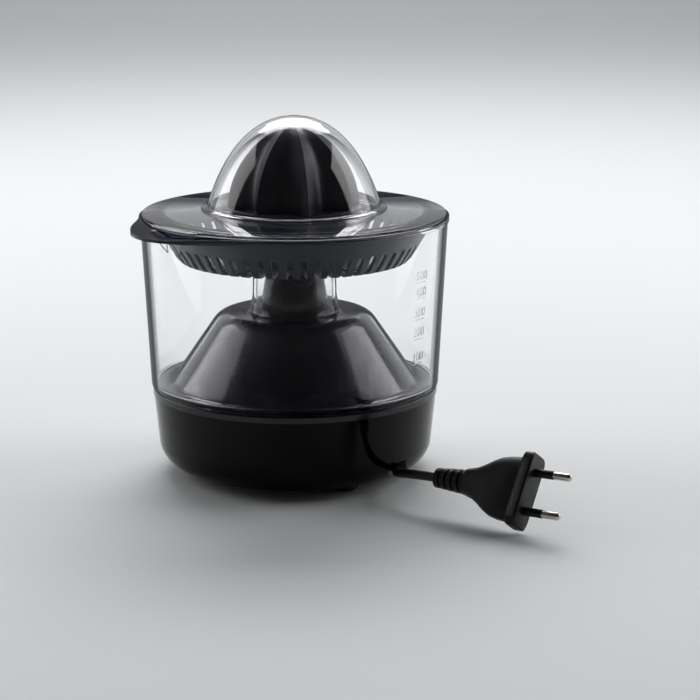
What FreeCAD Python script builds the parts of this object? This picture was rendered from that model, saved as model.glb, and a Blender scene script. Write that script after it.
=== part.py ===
"""Citrus press juicer: motor base, clear jug, slotted strainer, ribbed reamer and clear dust cover.

Millimetres. The origin is on the spindle's axis at the table, +Z is up and -Y points over the front
foot. Each function makes one piece as a closed solid.
"""
import FreeCAD, Part
import math
import os

from FreeCAD import Vector

# --- base: lower shell and motor housing ---------------------------------------------------------
foot_height = 3.5            # rubber foot below the shell
foot_radius = 7.0
foot_circle = 46.0           # radius of the circle that the feet stand on
foot_angles = {"foot_front": 270.0, "foot_right": 30.0, "foot_left": 150.0}
shell_height = 36.5          # shell's underside to its parting line with the housing
shell_wall = 2.5
shell_bottom_radius = 66.0   # before its edge is rounded
shell_top_radius = 69.6
shell_edge_round = 13.5
band_height = 3.5            # the housing's band above the parting line
band_radius = 69.9
housing_wall = 2.2
cone_foot_radius = 58.0
cone_height = 34.0
cone_top_radius = 34.0
cone_shoulder_round = 5.0
tower_foot_radius = 17.4
tower_top_radius = 12.3
tower_height = 32.5
post_radius = 4.0            # housing posts that the long screws reach

# --- drive: spindle, gears and motor -------------------------------------------------------------
press_travel = 2.2           # pressing the reamer down closes the switch
spindle_radius = 3.0
spindle_flats = 4.8          # across the two flats that turn with the output gear
spindle_foot_z = 33.0
dog_flats = 7.6              # hexagon that drives the reamer
bush_radius = 5.5
bush_flange_radius = 7.5
bush_flange = 0.8
gear_stages = [              # (pinion teeth, wheel teeth, module) from the motor to the spindle
    (10, 40, 0.6),
    (12, 36, 0.8),
    (12, 30, 1.0),
]
gear_face = 5.5              # face width of each wheel
gear_gap = 1.0               # height between two stages
backlash = 0.12              # taken off each flank
rotor_angle = 58.0           # direction from the spindle to the rotor
rotor_offset = 24.0          # distance from the spindle to the rotor
first_gear_offset = 20.0     # distance from the spindle to the first gear
gear_pin_radius = 1.0
rotor_radius = 9.0
rotor_shaft_radius = 1.2
air_gap = 0.6                # rotor to core
core_width = 34.0
core_leg = 9.0
core_length = 56.0
core_thickness = 11.0
coil_winding = 3.4           # thickness of the winding round each leg
tray_thickness = 2.0
tray_radius = 40.0
cover_radius = 36.5
pillar_radius = 2.5
pillars = [(34.0, 40.0), (30.0, 100.0), (30.0, 180.0), (32.0, 281.0)]   # (radius, angle)

# --- jug, strainer, reamer and dust cover --------------------------------------------------------
jug_height = 83.6            # foot of the jug to the top of its rim
jug_foot_radius = 70.5
jug_rim_radius = 75.4
jug_wall = 1.9
jug_floor = 1.5
jug_cone_gap = 0.8           # clear cone over the housing's cone
jug_tube_radius = 20.6       # central tube, outside
rim_depth = 2.4              # height of the jug's outer rim bead
rebate_depth = 1.3           # step in the rim that the strainer's flange lies in
lip_angle = 190.5            # direction of the pouring lip
lip_reach = 16.0             # lip beyond the rim
lip_arc = 72.0               # degrees of rim that the lip takes
lip_scoop = 1.2              # depth of the channel along the lip
web_offset = 3.8             # degrees from the lip's middle to each web under it
web_drop = 10.7
web_thickness = 1.6
lug_angle = 2.3              # lug for the thumb, nearly opposite the lip
lug_reach = 2.4
lug_width = 9.0
strainer_depth = 21.8        # rim's top to the strainer's underside
strainer_wall = 1.8
strainer_floor_radius = 57.0
strainer_top_radius = 69.0
collar_radius = 36.5
slot_count = 56
slot_width = 3.2
slot_height = 10.6           # above the strainer's underside
slot_inner_radius = 43.0
reamer_rise = 1.9            # reamer's underside above the jug's rim
reamer_radius = 33.0
reamer_height = 42.0
reamer_base = 2.0
reamer_ribs = 8
skirt_radius = 25.0          # ring under the reamer that holds its bush
skirt_wall = 1.7
skirt_depth = 10.0
hub_radius = 8.5
cover_flange = 1.3
cover_inset = 1.4            # the cover's edge inside the jug's rim
tongue_reach = 3.6           # step in the cover's edge that lies over the lip
tongue_arc = 27.0
cover_wall = 1.6
dome_base_radius = 43.0
dome_height = 44.9
flange_rise = 1.5            # slope of the cover's flange up to the dome

# --- cord, winder and plug -----------------------------------------------------------------------
cord_diameter = 4.4
coil_columns = 3
coil_layers = 2
winder_radius = 19.2
winder_tab_width = 12.0
recess_height = 12.0
channel_width = 7.6
gland_angle = 200.0          # the cord comes out of the recess's roof away from its channel
winder_screw_offset = 11.0
cord_points = [              # chosen by hand: coil, channel, edge of the shell, bend into the plug
    (30.3, -2.6, 7.7),
    (28.9, -27.6, 7.6),
    (27.3, -53.2, 6.9),
    (13.2, -71.5, 11.8),
    (10.7, -87.4, 16.0),
    (16.8, -102.5, 16.7),
]
plug_width = 35.3            # flat two-pin plug
plug_thickness = 13.7
plug_flange = 5.5
plug_length = 50.5           # cord's entry to the face
boot_length = 17.0
boot_radius = 4.4
boot_swell = 1.3             # the boot grows this much in radius towards the plug
pin_radius = 2.0
pin_length = 19.0
pin_spacing = 18.6
sleeve_length = 10.0
plug_face_centre = Vector(35.7, -149.3, 18.7)
plug_heading = -68.0
plug_pitch = 2.3
plug_roll = 34.0             # lean of the plug's long side from upright

# --- clearances ----------------------------------------------------------------------------------
seat_gap = 0.2               # between pieces that rest on each other and lift off
running_fit = 0.05           # radial, shaft in bush
socket_fit = 0.15            # flats of the dog in the reamer's socket
side_gap = 0.6               # between pieces that slide past each other
screw_radius = 1.5
screw_head_radius = 2.8
screw_head_height = 1.8

# --- levels that follow from the sizes -----------------------------------------------------------
shell_z = foot_height
parting_z = shell_z + shell_height
shelf_z = parting_z + band_height
shoulder_z = shelf_z + cone_height
tower_z = shoulder_z + tower_height
jug_z = shelf_z + seat_gap
rim_z = jug_z + jug_height
reamer_z = rim_z + reamer_rise
strainer_z = rim_z - strainer_depth
collar_z = reamer_z - press_travel - 0.5
tube_z = reamer_z - 6.2
hub_z = tower_z + bush_flange + press_travel + 0.5
hub_top_z = reamer_z + 22.0
recess_z = shell_z + recess_height
tray_z = parting_z + 1.5
gears_z = tray_z + tray_thickness + gear_gap
plate_z = gears_z + 3 * gear_face + 3 * gear_gap + 1.0
core_z = 22.5
cover_z = rim_z + seat_gap

UP = Vector(0, 0, 1)
ORIGIN = Vector(0, 0, 0)


def at(radius, angle, z=0.0):
    """Point at a radius and an angle in degrees round the spindle."""
    turn = math.radians(angle)
    return Vector(radius * math.cos(turn), radius * math.sin(turn), z)


def revolve(points):
    """Solid of revolution of a closed outline given as (radius, height) corners."""
    corners = [Vector(radius, 0, height) for radius, height in points]
    outline = Part.makePolygon(corners + corners[:1])
    return Part.Face(outline).revolve(ORIGIN, UP, 360)


def cylinder(radius, low, high, centre=ORIGIN):
    """Upright cylinder between two heights."""
    return Part.makeCylinder(radius, high - low, Vector(centre.x, centre.y, low), UP)


def ring(outer, inner, low, high, centre=ORIGIN):
    """Upright tube between two heights."""
    return cylinder(outer, low, high, centre).cut(cylinder(inner, low - 1, high + 1, centre))


def slab(length, width, low, high, angle=0.0, start=0.0, side=0.0):
    """Block that runs outwards from the spindle's axis at an angle."""
    block = Part.makeBox(length, width, high - low, Vector(start, side - width / 2, low))
    block.rotate(ORIGIN, UP, angle)
    return block


def prism(flats, sides, low, high, centre=ORIGIN):
    """Upright prism with a regular outline, given its size across flats."""
    corner = flats / 2 / math.cos(math.pi / sides)
    points = []
    for index in range(sides + 1):
        turn = 2 * math.pi * index / sides
        points.append(Vector(centre.x + corner * math.cos(turn), centre.y + corner * math.sin(turn), low))
    return Part.Face(Part.makePolygon(points)).extrude(Vector(0, 0, high - low))


def round_rings(shape, radius, levels, inside=0.0):
    """Fillet the circular edges at the given heights that are wider than inside."""
    edges = []
    for edge in shape.Edges:
        if not isinstance(edge.Curve, Part.Circle) or edge.Curve.Radius < inside:
            continue
        if any(abs(edge.Curve.Center.z - level) < 0.01 for level in levels):
            edges.append(edge)
    return shape.makeFillet(radius, edges)


def screw(point, length, downwards=False):
    """Pan-head screw whose head rests at a point; the shank goes up, or down."""
    way = Vector(0, 0, -1) if downwards else UP
    shank = Part.makeCylinder(screw_radius, length, point, way)
    head = Part.makeCylinder(screw_head_radius, screw_head_height, point - way * screw_head_height, way)
    slot = Part.makeBox(2 * screw_head_radius, 0.8, 1.6, Vector(-screw_head_radius, -0.4, -0.8))
    slot.translate(point - way * screw_head_height)
    return head.fuse(shank).removeSplitter().cut(slot)


def group(solids):
    """Several separate solids in one node."""
    return Part.makeCompound(solids)


# --- lower shell ---------------------------------------------------------------------------------
def shell_body(inset):
    """Rounded bowl of the lower shell, pulled in by an inset on its sides and underside."""
    body = revolve([
        (0, shell_z + inset), (shell_bottom_radius - inset, shell_z + inset),
        (shell_top_radius - inset, parting_z), (0, parting_z),
    ])
    return round_rings(body, shell_edge_round - inset, [shell_z + inset])


def cord_channel(width, low, roof):
    """Way for the cord from the winder's recess out through the shell's edge, bent where it leaves."""
    ways = []
    for first, last, reach in ((0, 2, 1.0), (2, 3, 1.3)):
        start = Vector(*cord_points[first])
        end = Vector(*cord_points[last])
        run = math.hypot(end.x - start.x, end.y - start.y) * reach
        way = Part.makeBox(run, width, roof - low, Vector(0, -width / 2, low))
        way.rotate(ORIGIN, UP, direction(start, end))
        way.translate(Vector(start.x, start.y, 0))
        ways.append(way.fuse(cylinder(width / 2, low, roof, start)))
    return ways[0].fuse(ways[1])


def coil_radius(column):
    """Radius of one column of turns on the winder."""
    return winder_radius + 0.2 + cord_diameter * (column + 0.5)


def coil_bounds():
    """Inner and outer radius, lowest and highest level of the wound cord."""
    outer = coil_radius(coil_columns - 1) + cord_diameter / 2
    low = cord_points[0][2] - cord_diameter / 2
    return winder_radius + 0.2, outer, low, low + coil_layers * cord_diameter


def base_shell():
    recess_radius = coil_bounds()[1] + 2.0
    channel_roof = cord_points[3][2] + channel_width / 2 - 1.0
    body = shell_body(0)
    shell = body.cut(shell_body(shell_wall))
    tub = cylinder(recess_radius + shell_wall, shell_z, recess_z + shell_wall)
    walls = cord_channel(channel_width + 2 * shell_wall, shell_z, channel_roof + shell_wall)
    shell = shell.fuse(tub).fuse(walls.common(body))
    shell = shell.cut(cylinder(recess_radius, shell_z - 1, recess_z))
    shell = shell.cut(cord_channel(channel_width, shell_z - 1, channel_roof))
    for angle in foot_angles.values():
        centre = at(foot_circle, angle)
        boss = cylinder(foot_radius + 2, shell_z, shell_z + 8, centre).common(body)
        shell = shell.fuse(boss)
        shell = shell.cut(cylinder(foot_radius, shell_z - 1, shell_z + 2, centre))
        shell = shell.cut(cylinder(screw_head_radius + 0.4, shell_z, shell_z + 4.5, centre))
        shell = shell.cut(cylinder(screw_radius + 0.3, shell_z, shell_z + 9, centre))
    for side in (-1, 1):
        centre = Vector(winder_screw_offset * side, 0, 0)
        shell = shell.fuse(cylinder(3.2, recess_z, recess_z + 5, centre))
        shell = shell.cut(cylinder(screw_radius, recess_z - 1, recess_z + 4, centre))
    shell = shell.fuse(cylinder(2.3, recess_z, spring_low() + 6))
    gland_at = at(coil_radius(0), gland_angle)
    shell = shell.cut(cylinder(3.6, recess_z - 1, recess_z + shell_wall + 1, gland_at))
    return shell.removeSplitter()


def rubber_foot(name):
    centre = at(foot_circle, foot_angles[name])
    foot = cylinder(foot_radius - 0.1, 0, shell_z + 2, centre)
    foot = foot.cut(cylinder(screw_head_radius + 0.4, shell_z, shell_z + 3, centre))
    return round_rings(foot, 1.0, [0])


def housing_screws():
    length = parting_z - shell_z - 14
    return group([screw(at(foot_circle, angle, shell_z + 4.5), length) for angle in foot_angles.values()])


# --- motor housing -------------------------------------------------------------------------------
def housing_body(inset):
    """Band, cone and tower of the motor housing, pulled in by an inset."""
    slope = inset * math.hypot(cone_foot_radius - cone_top_radius, cone_height) / cone_height
    low = parting_z - (1 if inset else 0)
    body = revolve([
        (0, low), (band_radius - inset, low), (band_radius - inset, shelf_z - inset),
        (cone_foot_radius - slope, shelf_z - inset), (cone_top_radius - slope, shoulder_z - inset),
        (tower_foot_radius - inset, shoulder_z - inset),
        (tower_top_radius - inset, tower_z - (11 if inset else 0)), (0, tower_z - (11 if inset else 0)),
    ])
    body = round_rings(body, cone_shoulder_round, [shoulder_z - inset], cone_top_radius - slope - 1)
    if inset:
        return body
    return round_rings(body, 1.0, [shelf_z], band_radius - 1)


def motor_housing():
    body = housing_body(0)
    housing = body.cut(housing_body(housing_wall))
    housing = housing.cut(cylinder(bush_radius, tower_z - 20, tower_z + 1))
    for angle in foot_angles.values():
        centre = at(foot_circle, angle)
        housing = housing.fuse(cylinder(post_radius, shell_z + 9, parting_z + 1, centre))
        housing = housing.fuse(cylinder(post_radius, parting_z, shoulder_z, centre).common(body))
        housing = housing.cut(cylinder(screw_radius, shell_z, parting_z - 4, centre))
    for angle in foot_angles.values():
        centre = at(foot_circle, angle + 60)
        boss = cylinder(3.6, tray_z + tray_thickness, shoulder_z, centre).common(body)
        housing = housing.fuse(boss)
        housing = housing.cut(cylinder(screw_radius, tray_z, tray_z + 9, centre))
    return housing.removeSplitter()


def upper_bush():
    body = ring(bush_radius, spindle_radius + running_fit, tower_z - 11, tower_z + 0.1)
    return body.fuse(ring(bush_flange_radius, spindle_radius + running_fit, tower_z, tower_z + bush_flange))


def lower_bush():
    body = ring(bush_radius, spindle_radius + running_fit, tray_z - 3, tray_z + tray_thickness)
    return body.fuse(ring(bush_flange_radius, spindle_radius + running_fit, tray_z - 4, tray_z - 3))


# --- spindle and its switch ----------------------------------------------------------------------
def drive_spindle():
    shaft = cylinder(spindle_radius, spindle_foot_z, hub_top_z - 1)
    low = gear_level(2) - press_travel - 1
    high = gear_level(2) + gear_face + press_travel + 1
    for side in (-1, 1):
        middle = side * (spindle_flats / 2 + 4)
        shaft = shaft.cut(Part.makeBox(8, 8, high - low, Vector(-4, middle - 4, low)))
    groove = ring(spindle_radius + 1, spindle_radius - 0.6, clip_level(), clip_level() + 0.8)
    return shaft.cut(groove)


def clip_level():
    """The clip stops the spindle under the lower bush."""
    return tray_z - 4 - 0.8 - seat_gap


def spindle_clip():
    clip = ring(spindle_radius + 2.2, spindle_radius - 0.6, clip_level(), clip_level() + 0.8)
    mouth = Part.makeBox(8, 3.4, 2, Vector(0, -1.7, clip_level() - 0.5))
    return clip.cut(mouth)


def spindle_dog():
    dog = prism(dog_flats, 6, hub_z, hub_top_z - 1)
    return dog.cut(cylinder(spindle_radius, hub_z - 1, hub_top_z + 1))


def spring_low():
    return recess_z + shell_wall


def thrust_pad():
    pad = cylinder(5.0, spindle_foot_z - 2, spindle_foot_z + 2.4)
    pad = pad.cut(cylinder(spindle_radius + running_fit, spindle_foot_z, spindle_foot_z + 3))
    return pad.fuse(slab(16, 5, spindle_foot_z - 2, spindle_foot_z, -90)).removeSplitter()


def return_spring():
    wire = 0.45
    radius = 3.4
    turns = 6
    low = spring_low() + wire + 0.05
    high = spindle_foot_z - 2 - wire - 0.05
    path = Part.makeHelix((high - low) / turns, high - low, radius)
    section = Part.Wire([Part.makeCircle(wire, Vector(radius, 0, 0), Vector(0, 1, 0))])
    spring = Part.Wire(path.Edges).makePipeShell([section], True, True)
    spring.translate(Vector(0, 0, low))
    return spring


def switch_body():
    low = recess_z + shell_wall
    body = slab(20, 6.4, low, switch_top(), -90, 8)
    body = body.cut(cylinder(1.6, switch_top() - 4, switch_top() + 1, at(13, -90)))
    return body


def switch_top():
    return spindle_foot_z - 2 - seat_gap - press_travel - 0.8


def switch_plunger():
    return cylinder(1.6 - side_gap / 2, switch_top() - 1, spindle_foot_z - 2 - seat_gap, at(13, -90))


# --- gears and motor -----------------------------------------------------------------------------
def stage_distance(stage):
    pinion, wheel, module = gear_stages[stage]
    return module * (pinion + wheel) / 2


def gear_level(stage):
    """Underside of a stage's wheel."""
    return gears_z + stage * (gear_face + gear_gap)


def included_angle(side_a, side_b, opposite):
    """Angle in degrees between two sides of a triangle."""
    return math.degrees(math.acos((side_a ** 2 + side_b ** 2 - opposite ** 2) / (2 * side_a * side_b)))


def shaft_places():
    """Rotor, first gear, second gear and spindle in plan, each pair at its gear distance."""
    first_angle = rotor_angle - included_angle(rotor_offset, first_gear_offset, stage_distance(0))
    second_offset = stage_distance(2)
    second_angle = first_angle - included_angle(first_gear_offset, second_offset, stage_distance(1))
    return [at(rotor_offset, rotor_angle), at(first_gear_offset, first_angle),
            at(second_offset, second_angle), at(0, 0)]


def direction(start, end):
    return math.degrees(math.atan2(end.y - start.y, end.x - start.x))


def polar(radius, turn):
    return Vector(radius * math.cos(turn), radius * math.sin(turn), 0)


def spur_gear(teeth, module, low, high, centre, tooth_angle):
    """Involute spur gear with one tooth's middle at an angle in degrees."""
    pressure = math.radians(20)
    pitch_radius = module * teeth / 2
    base_radius = pitch_radius * math.cos(pressure)
    tip_radius = pitch_radius + 0.8 * module
    root_radius = pitch_radius - 1.15 * module
    start_radius = max(base_radius, root_radius)
    half_base = math.pi / (2 * teeth) + math.tan(pressure) - pressure - backlash / pitch_radius

    def half_tooth(radius):
        roll = math.sqrt(max((radius / base_radius) ** 2 - 1, 0))
        return half_base - (roll - math.atan(roll))

    radii = [start_radius + (tip_radius - start_radius) * step / 3 for step in range(4)]
    foot = half_tooth(start_radius)
    edges = []
    for tooth in range(teeth):
        middle = math.radians(tooth_angle) + 2 * math.pi * tooth / teeth
        rising = [polar(radius, middle - half_tooth(radius)) for radius in radii]
        falling = [polar(radius, middle + half_tooth(radius)) for radius in reversed(radii)]
        if start_radius > root_radius:
            edges.append(Part.makeLine(polar(root_radius, middle - foot), rising[0]))
        edges.append(smooth_edge(rising))
        edges.append(Part.Arc(rising[-1], polar(tip_radius, middle), falling[0]).toShape())
        edges.append(smooth_edge(falling))
        if start_radius > root_radius:
            edges.append(Part.makeLine(falling[-1], polar(root_radius, middle + foot)))
        gap = middle + math.pi / teeth
        following = middle + 2 * math.pi / teeth - foot
        edges.append(Part.Arc(polar(root_radius, middle + foot), polar(root_radius, gap),
                              polar(root_radius, following)).toShape())
    gear = Part.Face(Part.Wire(edges)).extrude(Vector(0, 0, high - low))
    gear.translate(Vector(centre.x, centre.y, low))
    return gear


def smooth_edge(points):
    curve = Part.BSplineCurve()
    curve.interpolate(points)
    return curve.toShape()


def meshing_tooth(teeth, towards):
    """Angle of a tooth on the driven gear that puts a gap opposite its pinion's tooth."""
    return towards + 180 + 180 / teeth


def output_gear():
    places = shaft_places()
    teeth, module = gear_stages[2][1], gear_stages[2][2]
    low = gear_level(2)
    towards = direction(places[2], places[3])
    gear = spur_gear(teeth, module, low, low + gear_face, ORIGIN, meshing_tooth(teeth, towards))
    gear = gear.fuse(cylinder(6, low + gear_face, low + gear_face + 0.6))
    flats = spindle_flats / 2 + running_fit
    bore = cylinder(spindle_radius + running_fit, low - 1, low + gear_face + 2)
    bore = bore.common(Part.makeBox(20, 2 * flats, gear_face + 4, Vector(-10, -flats, low - 2)))
    return gear.cut(bore)


def compound_gear(stage):
    """Wheel of one stage with the pinion of the next on top, on a fixed pin."""
    places = shaft_places()
    here = places[stage + 1]
    teeth, module = gear_stages[stage][1], gear_stages[stage][2]
    low = gear_level(stage)
    top = gear_level(stage + 1) + gear_face
    towards = direction(places[stage], here)
    gear = spur_gear(teeth, module, low, low + gear_face, here, meshing_tooth(teeth, towards))
    pinion_teeth, pinion_module = gear_stages[stage + 1][0], gear_stages[stage + 1][2]
    onwards = direction(here, places[stage + 2])
    gear = gear.fuse(spur_gear(pinion_teeth, pinion_module, low + gear_face - 0.1, top, here, onwards))
    return gear.cut(cylinder(gear_pin_radius + running_fit, low - 1, top + 1, here))


def gear_pin(stage):
    here = shaft_places()[stage + 1]
    return cylinder(gear_pin_radius, tray_z + 0.5, plate_z + 1, here)


def motor_pinion():
    places = shaft_places()
    teeth, module = gear_stages[0][0], gear_stages[0][2]
    onwards = direction(places[0], places[1])
    pinion = spur_gear(teeth, module, gear_level(0) - 0.4, gear_level(0) + gear_face, places[0], onwards)
    return pinion.cut(cylinder(rotor_shaft_radius, gears_z - 2, gears_z + gear_face + 2, places[0]))


def motor_rotor():
    here = shaft_places()[0]
    return ring(rotor_radius, rotor_shaft_radius, core_z - 1, core_z + core_thickness + 1, here)


def rotor_shaft():
    here = shaft_places()[0]
    return cylinder(rotor_shaft_radius, spring_low() + 0.5, gear_level(0) + gear_face, here)


def core_frame(shape):
    """Put a shape made round the rotor, with the legs along -X, in its place in the base."""
    shape.rotate(ORIGIN, UP, rotor_angle - 90)
    shape.translate(shaft_places()[0])
    return shape


def motor_core():
    """U-shaped stack of laminations: two legs, a yoke at one end and the poles round the rotor."""
    front = rotor_radius + 3.0
    stack = Part.makeBox(core_length, core_width, core_thickness,
                         Vector(front - core_length, -core_width / 2, core_z))
    window_width = core_width - 2 * core_leg
    window_length = core_length - 2 * front - core_leg
    window = Part.makeBox(window_length, window_width, core_thickness + 2,
                          Vector(front - core_length + core_leg, -window_width / 2, core_z - 1))
    pole_slot = Part.makeBox(2 * front, 1.6, core_thickness + 2, Vector(-front, -0.8, core_z - 1))
    bore = cylinder(rotor_radius + air_gap, core_z - 1, core_z + core_thickness + 1)
    stack = stack.cut(window).cut(pole_slot).cut(bore)
    for point in motor_fixings():
        stack = stack.cut(cylinder(screw_radius + 0.2, core_z - 1, core_z + core_thickness + 1, point))
    return core_frame(stack)


def motor_fixings():
    """One hole in the middle of the yoke and one in a corner by the poles."""
    yoke = rotor_radius + 3.0 - core_length + core_leg / 2
    return [Vector(yoke, 0, 0), Vector(rotor_radius, core_width / 2 - 3.5, 0)]


def motor_coils():
    front = rotor_radius + 3.0
    start = front - core_length + core_leg + 1
    length = core_length - 2 * front - core_leg - 2
    middle = (core_width - core_leg) / 2
    coils = []
    for side in (-1, 1):
        low = core_z - coil_winding
        outer = Part.makeBox(length, core_leg + 2 * coil_winding, core_thickness + 2 * coil_winding,
                             Vector(start, side * middle - core_leg / 2 - coil_winding, low))
        outer = outer.makeFillet(2.0, [edge for edge in outer.Edges if abs(edge.tangentAt(0).x) > 0.9])
        leg = Part.makeBox(length + 2, core_leg, core_thickness,
                           Vector(start - 1, side * middle - core_leg / 2, core_z))
        coils.append(core_frame(outer.cut(leg)))
    return group(coils)


def motor_screws():
    screws = []
    for point in motor_fixings():
        screws.append(core_frame(screw(Vector(point.x, point.y, core_z), tray_z - core_z)))
    return group(screws)


def gearbox_tray():
    tray = cylinder(tray_radius, tray_z, tray_z + tray_thickness)
    for angle in foot_angles.values():
        tray = tray.fuse(slab(foot_circle, 9, tray_z, tray_z + tray_thickness, angle + 60))
        tray = tray.fuse(cylinder(4.5, tray_z, tray_z + tray_thickness, at(foot_circle, angle + 60)))
        tray = tray.cut(cylinder(screw_radius + 0.3, tray_z - 1, tray_z + 4, at(foot_circle, angle + 60)))
    for radius, angle in pillars:
        tray = tray.fuse(cylinder(pillar_radius, tray_z + tray_thickness, plate_z, at(radius, angle)))
        tray = tray.cut(cylinder(1.1, plate_z - 8, plate_z + 1, at(radius, angle)))
    for point in motor_fixings():
        fixing = core_frame(Part.Vertex(point)).Point
        reach = math.hypot(fixing.x, fixing.y)
        arm = slab(reach, 7, tray_z, tray_z + tray_thickness, direction(ORIGIN, fixing))
        sleeve = cylinder(3.5, core_z + core_thickness, tray_z + tray_thickness, fixing)
        tray = tray.fuse(arm).fuse(sleeve)
        tray = tray.cut(cylinder(screw_radius, core_z, tray_z + 0.5, fixing))
    places = shaft_places()
    tray = tray.cut(cylinder(bush_radius, tray_z - 1, tray_z + 4))
    tray = tray.cut(cylinder(rotor_shaft_radius + running_fit, tray_z - 1, tray_z + 4, places[0]))
    for stage in (0, 1):
        tray = tray.cut(cylinder(gear_pin_radius, tray_z + 0.5, tray_z + 4, places[stage + 1]))
    return tray.removeSplitter()


def tray_screws():
    return group([screw(at(foot_circle, angle + 60, tray_z), 9) for angle in foot_angles.values()])


def gearbox_cover():
    plate = cylinder(cover_radius, plate_z, plate_z + 2)
    plate = plate.cut(cylinder(spindle_radius + side_gap, plate_z - 1, plate_z + 3))
    for radius, angle in pillars:
        plate = plate.cut(cylinder(1.3, plate_z - 1, plate_z + 3, at(radius, angle)))
    for stage in (0, 1):
        plate = plate.cut(cylinder(gear_pin_radius, plate_z - 1, plate_z + 1, shaft_places()[stage + 1]))
    return plate


def cover_screws():
    screws = []
    for radius, angle in pillars:
        point = at(radius, angle, plate_z + 2)
        shank = Part.makeCylinder(1.1, 8, point - Vector(0, 0, 8), UP)
        head = Part.makeCylinder(2.0, 1.4, point, UP)
        screws.append(shank.fuse(head))
    return group(screws)


# --- jug -----------------------------------------------------------------------------------------
def jug_radius(z):
    """Outer radius of the jug's tapered wall at a level."""
    share = (z - jug_z) / jug_height
    return jug_foot_radius + (jug_rim_radius - 0.5 - jug_foot_radius) * share


def jug_profile():
    slope = math.hypot(cone_foot_radius - cone_top_radius, cone_height) / cone_height
    inner = jug_cone_gap * slope
    outer = inner + jug_floor * slope
    shoulder = shoulder_z + jug_cone_gap
    bore = jug_tube_radius - jug_floor
    return [
        (jug_foot_radius, jug_z), (jug_radius(rim_z), rim_z), (jug_radius(rim_z) - 0.9, rim_z),
        (jug_radius(rim_z) - 0.9, rim_z - rebate_depth), (jug_radius(rim_z) - jug_wall, rim_z - rebate_depth),
        (jug_foot_radius - jug_wall, jug_z + jug_floor), (cone_foot_radius + outer, jug_z + jug_floor),
        (cone_top_radius + outer, shoulder + jug_floor), (jug_tube_radius + 2.5, shoulder + jug_floor),
        (jug_tube_radius, shoulder + jug_floor + 6), (jug_tube_radius - 0.6, tube_z),
        (bore - 0.6, tube_z), (bore, shoulder), (cone_top_radius + inner, shoulder),
        (cone_foot_radius + inner, jug_z),
    ]


def pouring_lip():
    """Flat tongue of the rim that swells out to its tip and back in."""
    edge = jug_radius(rim_z) - 1.0
    half = lip_arc / 2
    steps = 12
    swell = []
    for step in range(steps + 1):
        share = 2 * step / steps - 1
        reach = lip_reach * math.cos(math.pi * share / 2) ** 2
        swell.append(at(jug_rim_radius - 0.3 + reach, lip_angle + share * half))
    back = Part.Arc(at(edge, lip_angle + half), at(edge, lip_angle), at(edge, lip_angle - half)).toShape()
    outline = Part.Wire([smooth_edge(swell), Part.makeLine(swell[-1], at(edge, lip_angle + half)), back,
                         Part.makeLine(at(edge, lip_angle - half), swell[0])])
    lip = Part.Face(outline).extrude(Vector(0, 0, rim_depth))
    lip.translate(Vector(0, 0, rim_z - rim_depth))
    return lip


def pouring_channel():
    """Shallow round hollow from the rim's step out over the lip's tip."""
    curve = 46.0
    height = rim_z + curve - lip_scoop
    channel = Part.makeCylinder(curve, 60, Vector(40, 0, height), Vector(1, 0, 0))
    channel.rotate(ORIGIN, UP, lip_angle)
    return channel.cut(cylinder(jug_radius(rim_z) - 0.9, rim_z - 10, rim_z + 2 * curve + 10))


def lip_web(angle):
    """Small triangular web between the wall and the lip's underside."""
    foot = rim_z - web_drop
    top = rim_z - rim_depth + 0.2
    wall = jug_radius(foot) - 0.6
    corners = [(wall, foot), (jug_rim_radius + 6, top), (wall, top), (wall, foot)]
    outline = Part.makePolygon([Vector(radius, -web_thickness / 2, z) for radius, z in corners])
    web = Part.Face(outline).extrude(Vector(0, web_thickness, 0))
    web.rotate(ORIGIN, UP, angle)
    return web


def juice_jug():
    jug = revolve(jug_profile())
    jug = jug.fuse(ring(jug_rim_radius, jug_radius(rim_z) - 0.8, rim_z - rim_depth, rim_z - 0.05))
    jug = jug.fuse(pouring_lip())
    jug = jug.cut(pouring_channel())
    for side in (-1, 1):
        jug = jug.fuse(lip_web(lip_angle + side * web_offset))
    lug = slab(jug_rim_radius + lug_reach, lug_width, rim_z - rim_depth, rim_z - 0.05, lug_angle)
    lug = lug.cut(cylinder(jug_radius(rim_z) - 0.8, rim_z - 10, rim_z + 1))
    jug = jug.fuse(lug)
    return jug.removeSplitter()


# --- strainer ------------------------------------------------------------------------------------
def strainer():
    top = rim_z
    under_flange = top - rebate_depth + seat_gap / 2
    flange_radius = jug_radius(rim_z) - 0.9 - 0.35
    hole = skirt_radius + 1.0
    floor = strainer_z + strainer_wall
    bowl = revolve([
        (strainer_floor_radius, strainer_z), (strainer_top_radius, under_flange),
        (flange_radius, under_flange),
        (flange_radius, top), (strainer_top_radius - strainer_wall, top),
        (strainer_floor_radius - strainer_wall, floor), (collar_radius, floor),
        (collar_radius - 0.8, collar_z), (hole, collar_z), (hole, collar_z - strainer_wall),
        (collar_radius - 0.8 - strainer_wall, collar_z - strainer_wall),
        (collar_radius - strainer_wall, strainer_z),
    ])
    bowl = round_rings(bowl, 2.5, [strainer_z], strainer_floor_radius - 1)
    slots = []
    for index in range(slot_count):
        slots.append(slab(40, slot_width, strainer_z - 1, strainer_z + slot_height,
                          360 * index / slot_count, slot_inner_radius))
    bowl = bowl.cut(Part.makeCompound(slots))
    return bowl


# --- reamer --------------------------------------------------------------------------------------
def rib_radius(share):
    """Radius of the ribs' crests at a share of the reamer's height: round below, pointed above."""
    return (reamer_radius - 0.4) * (1 - share ** 1.9) ** 0.62 + 0.02


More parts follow.
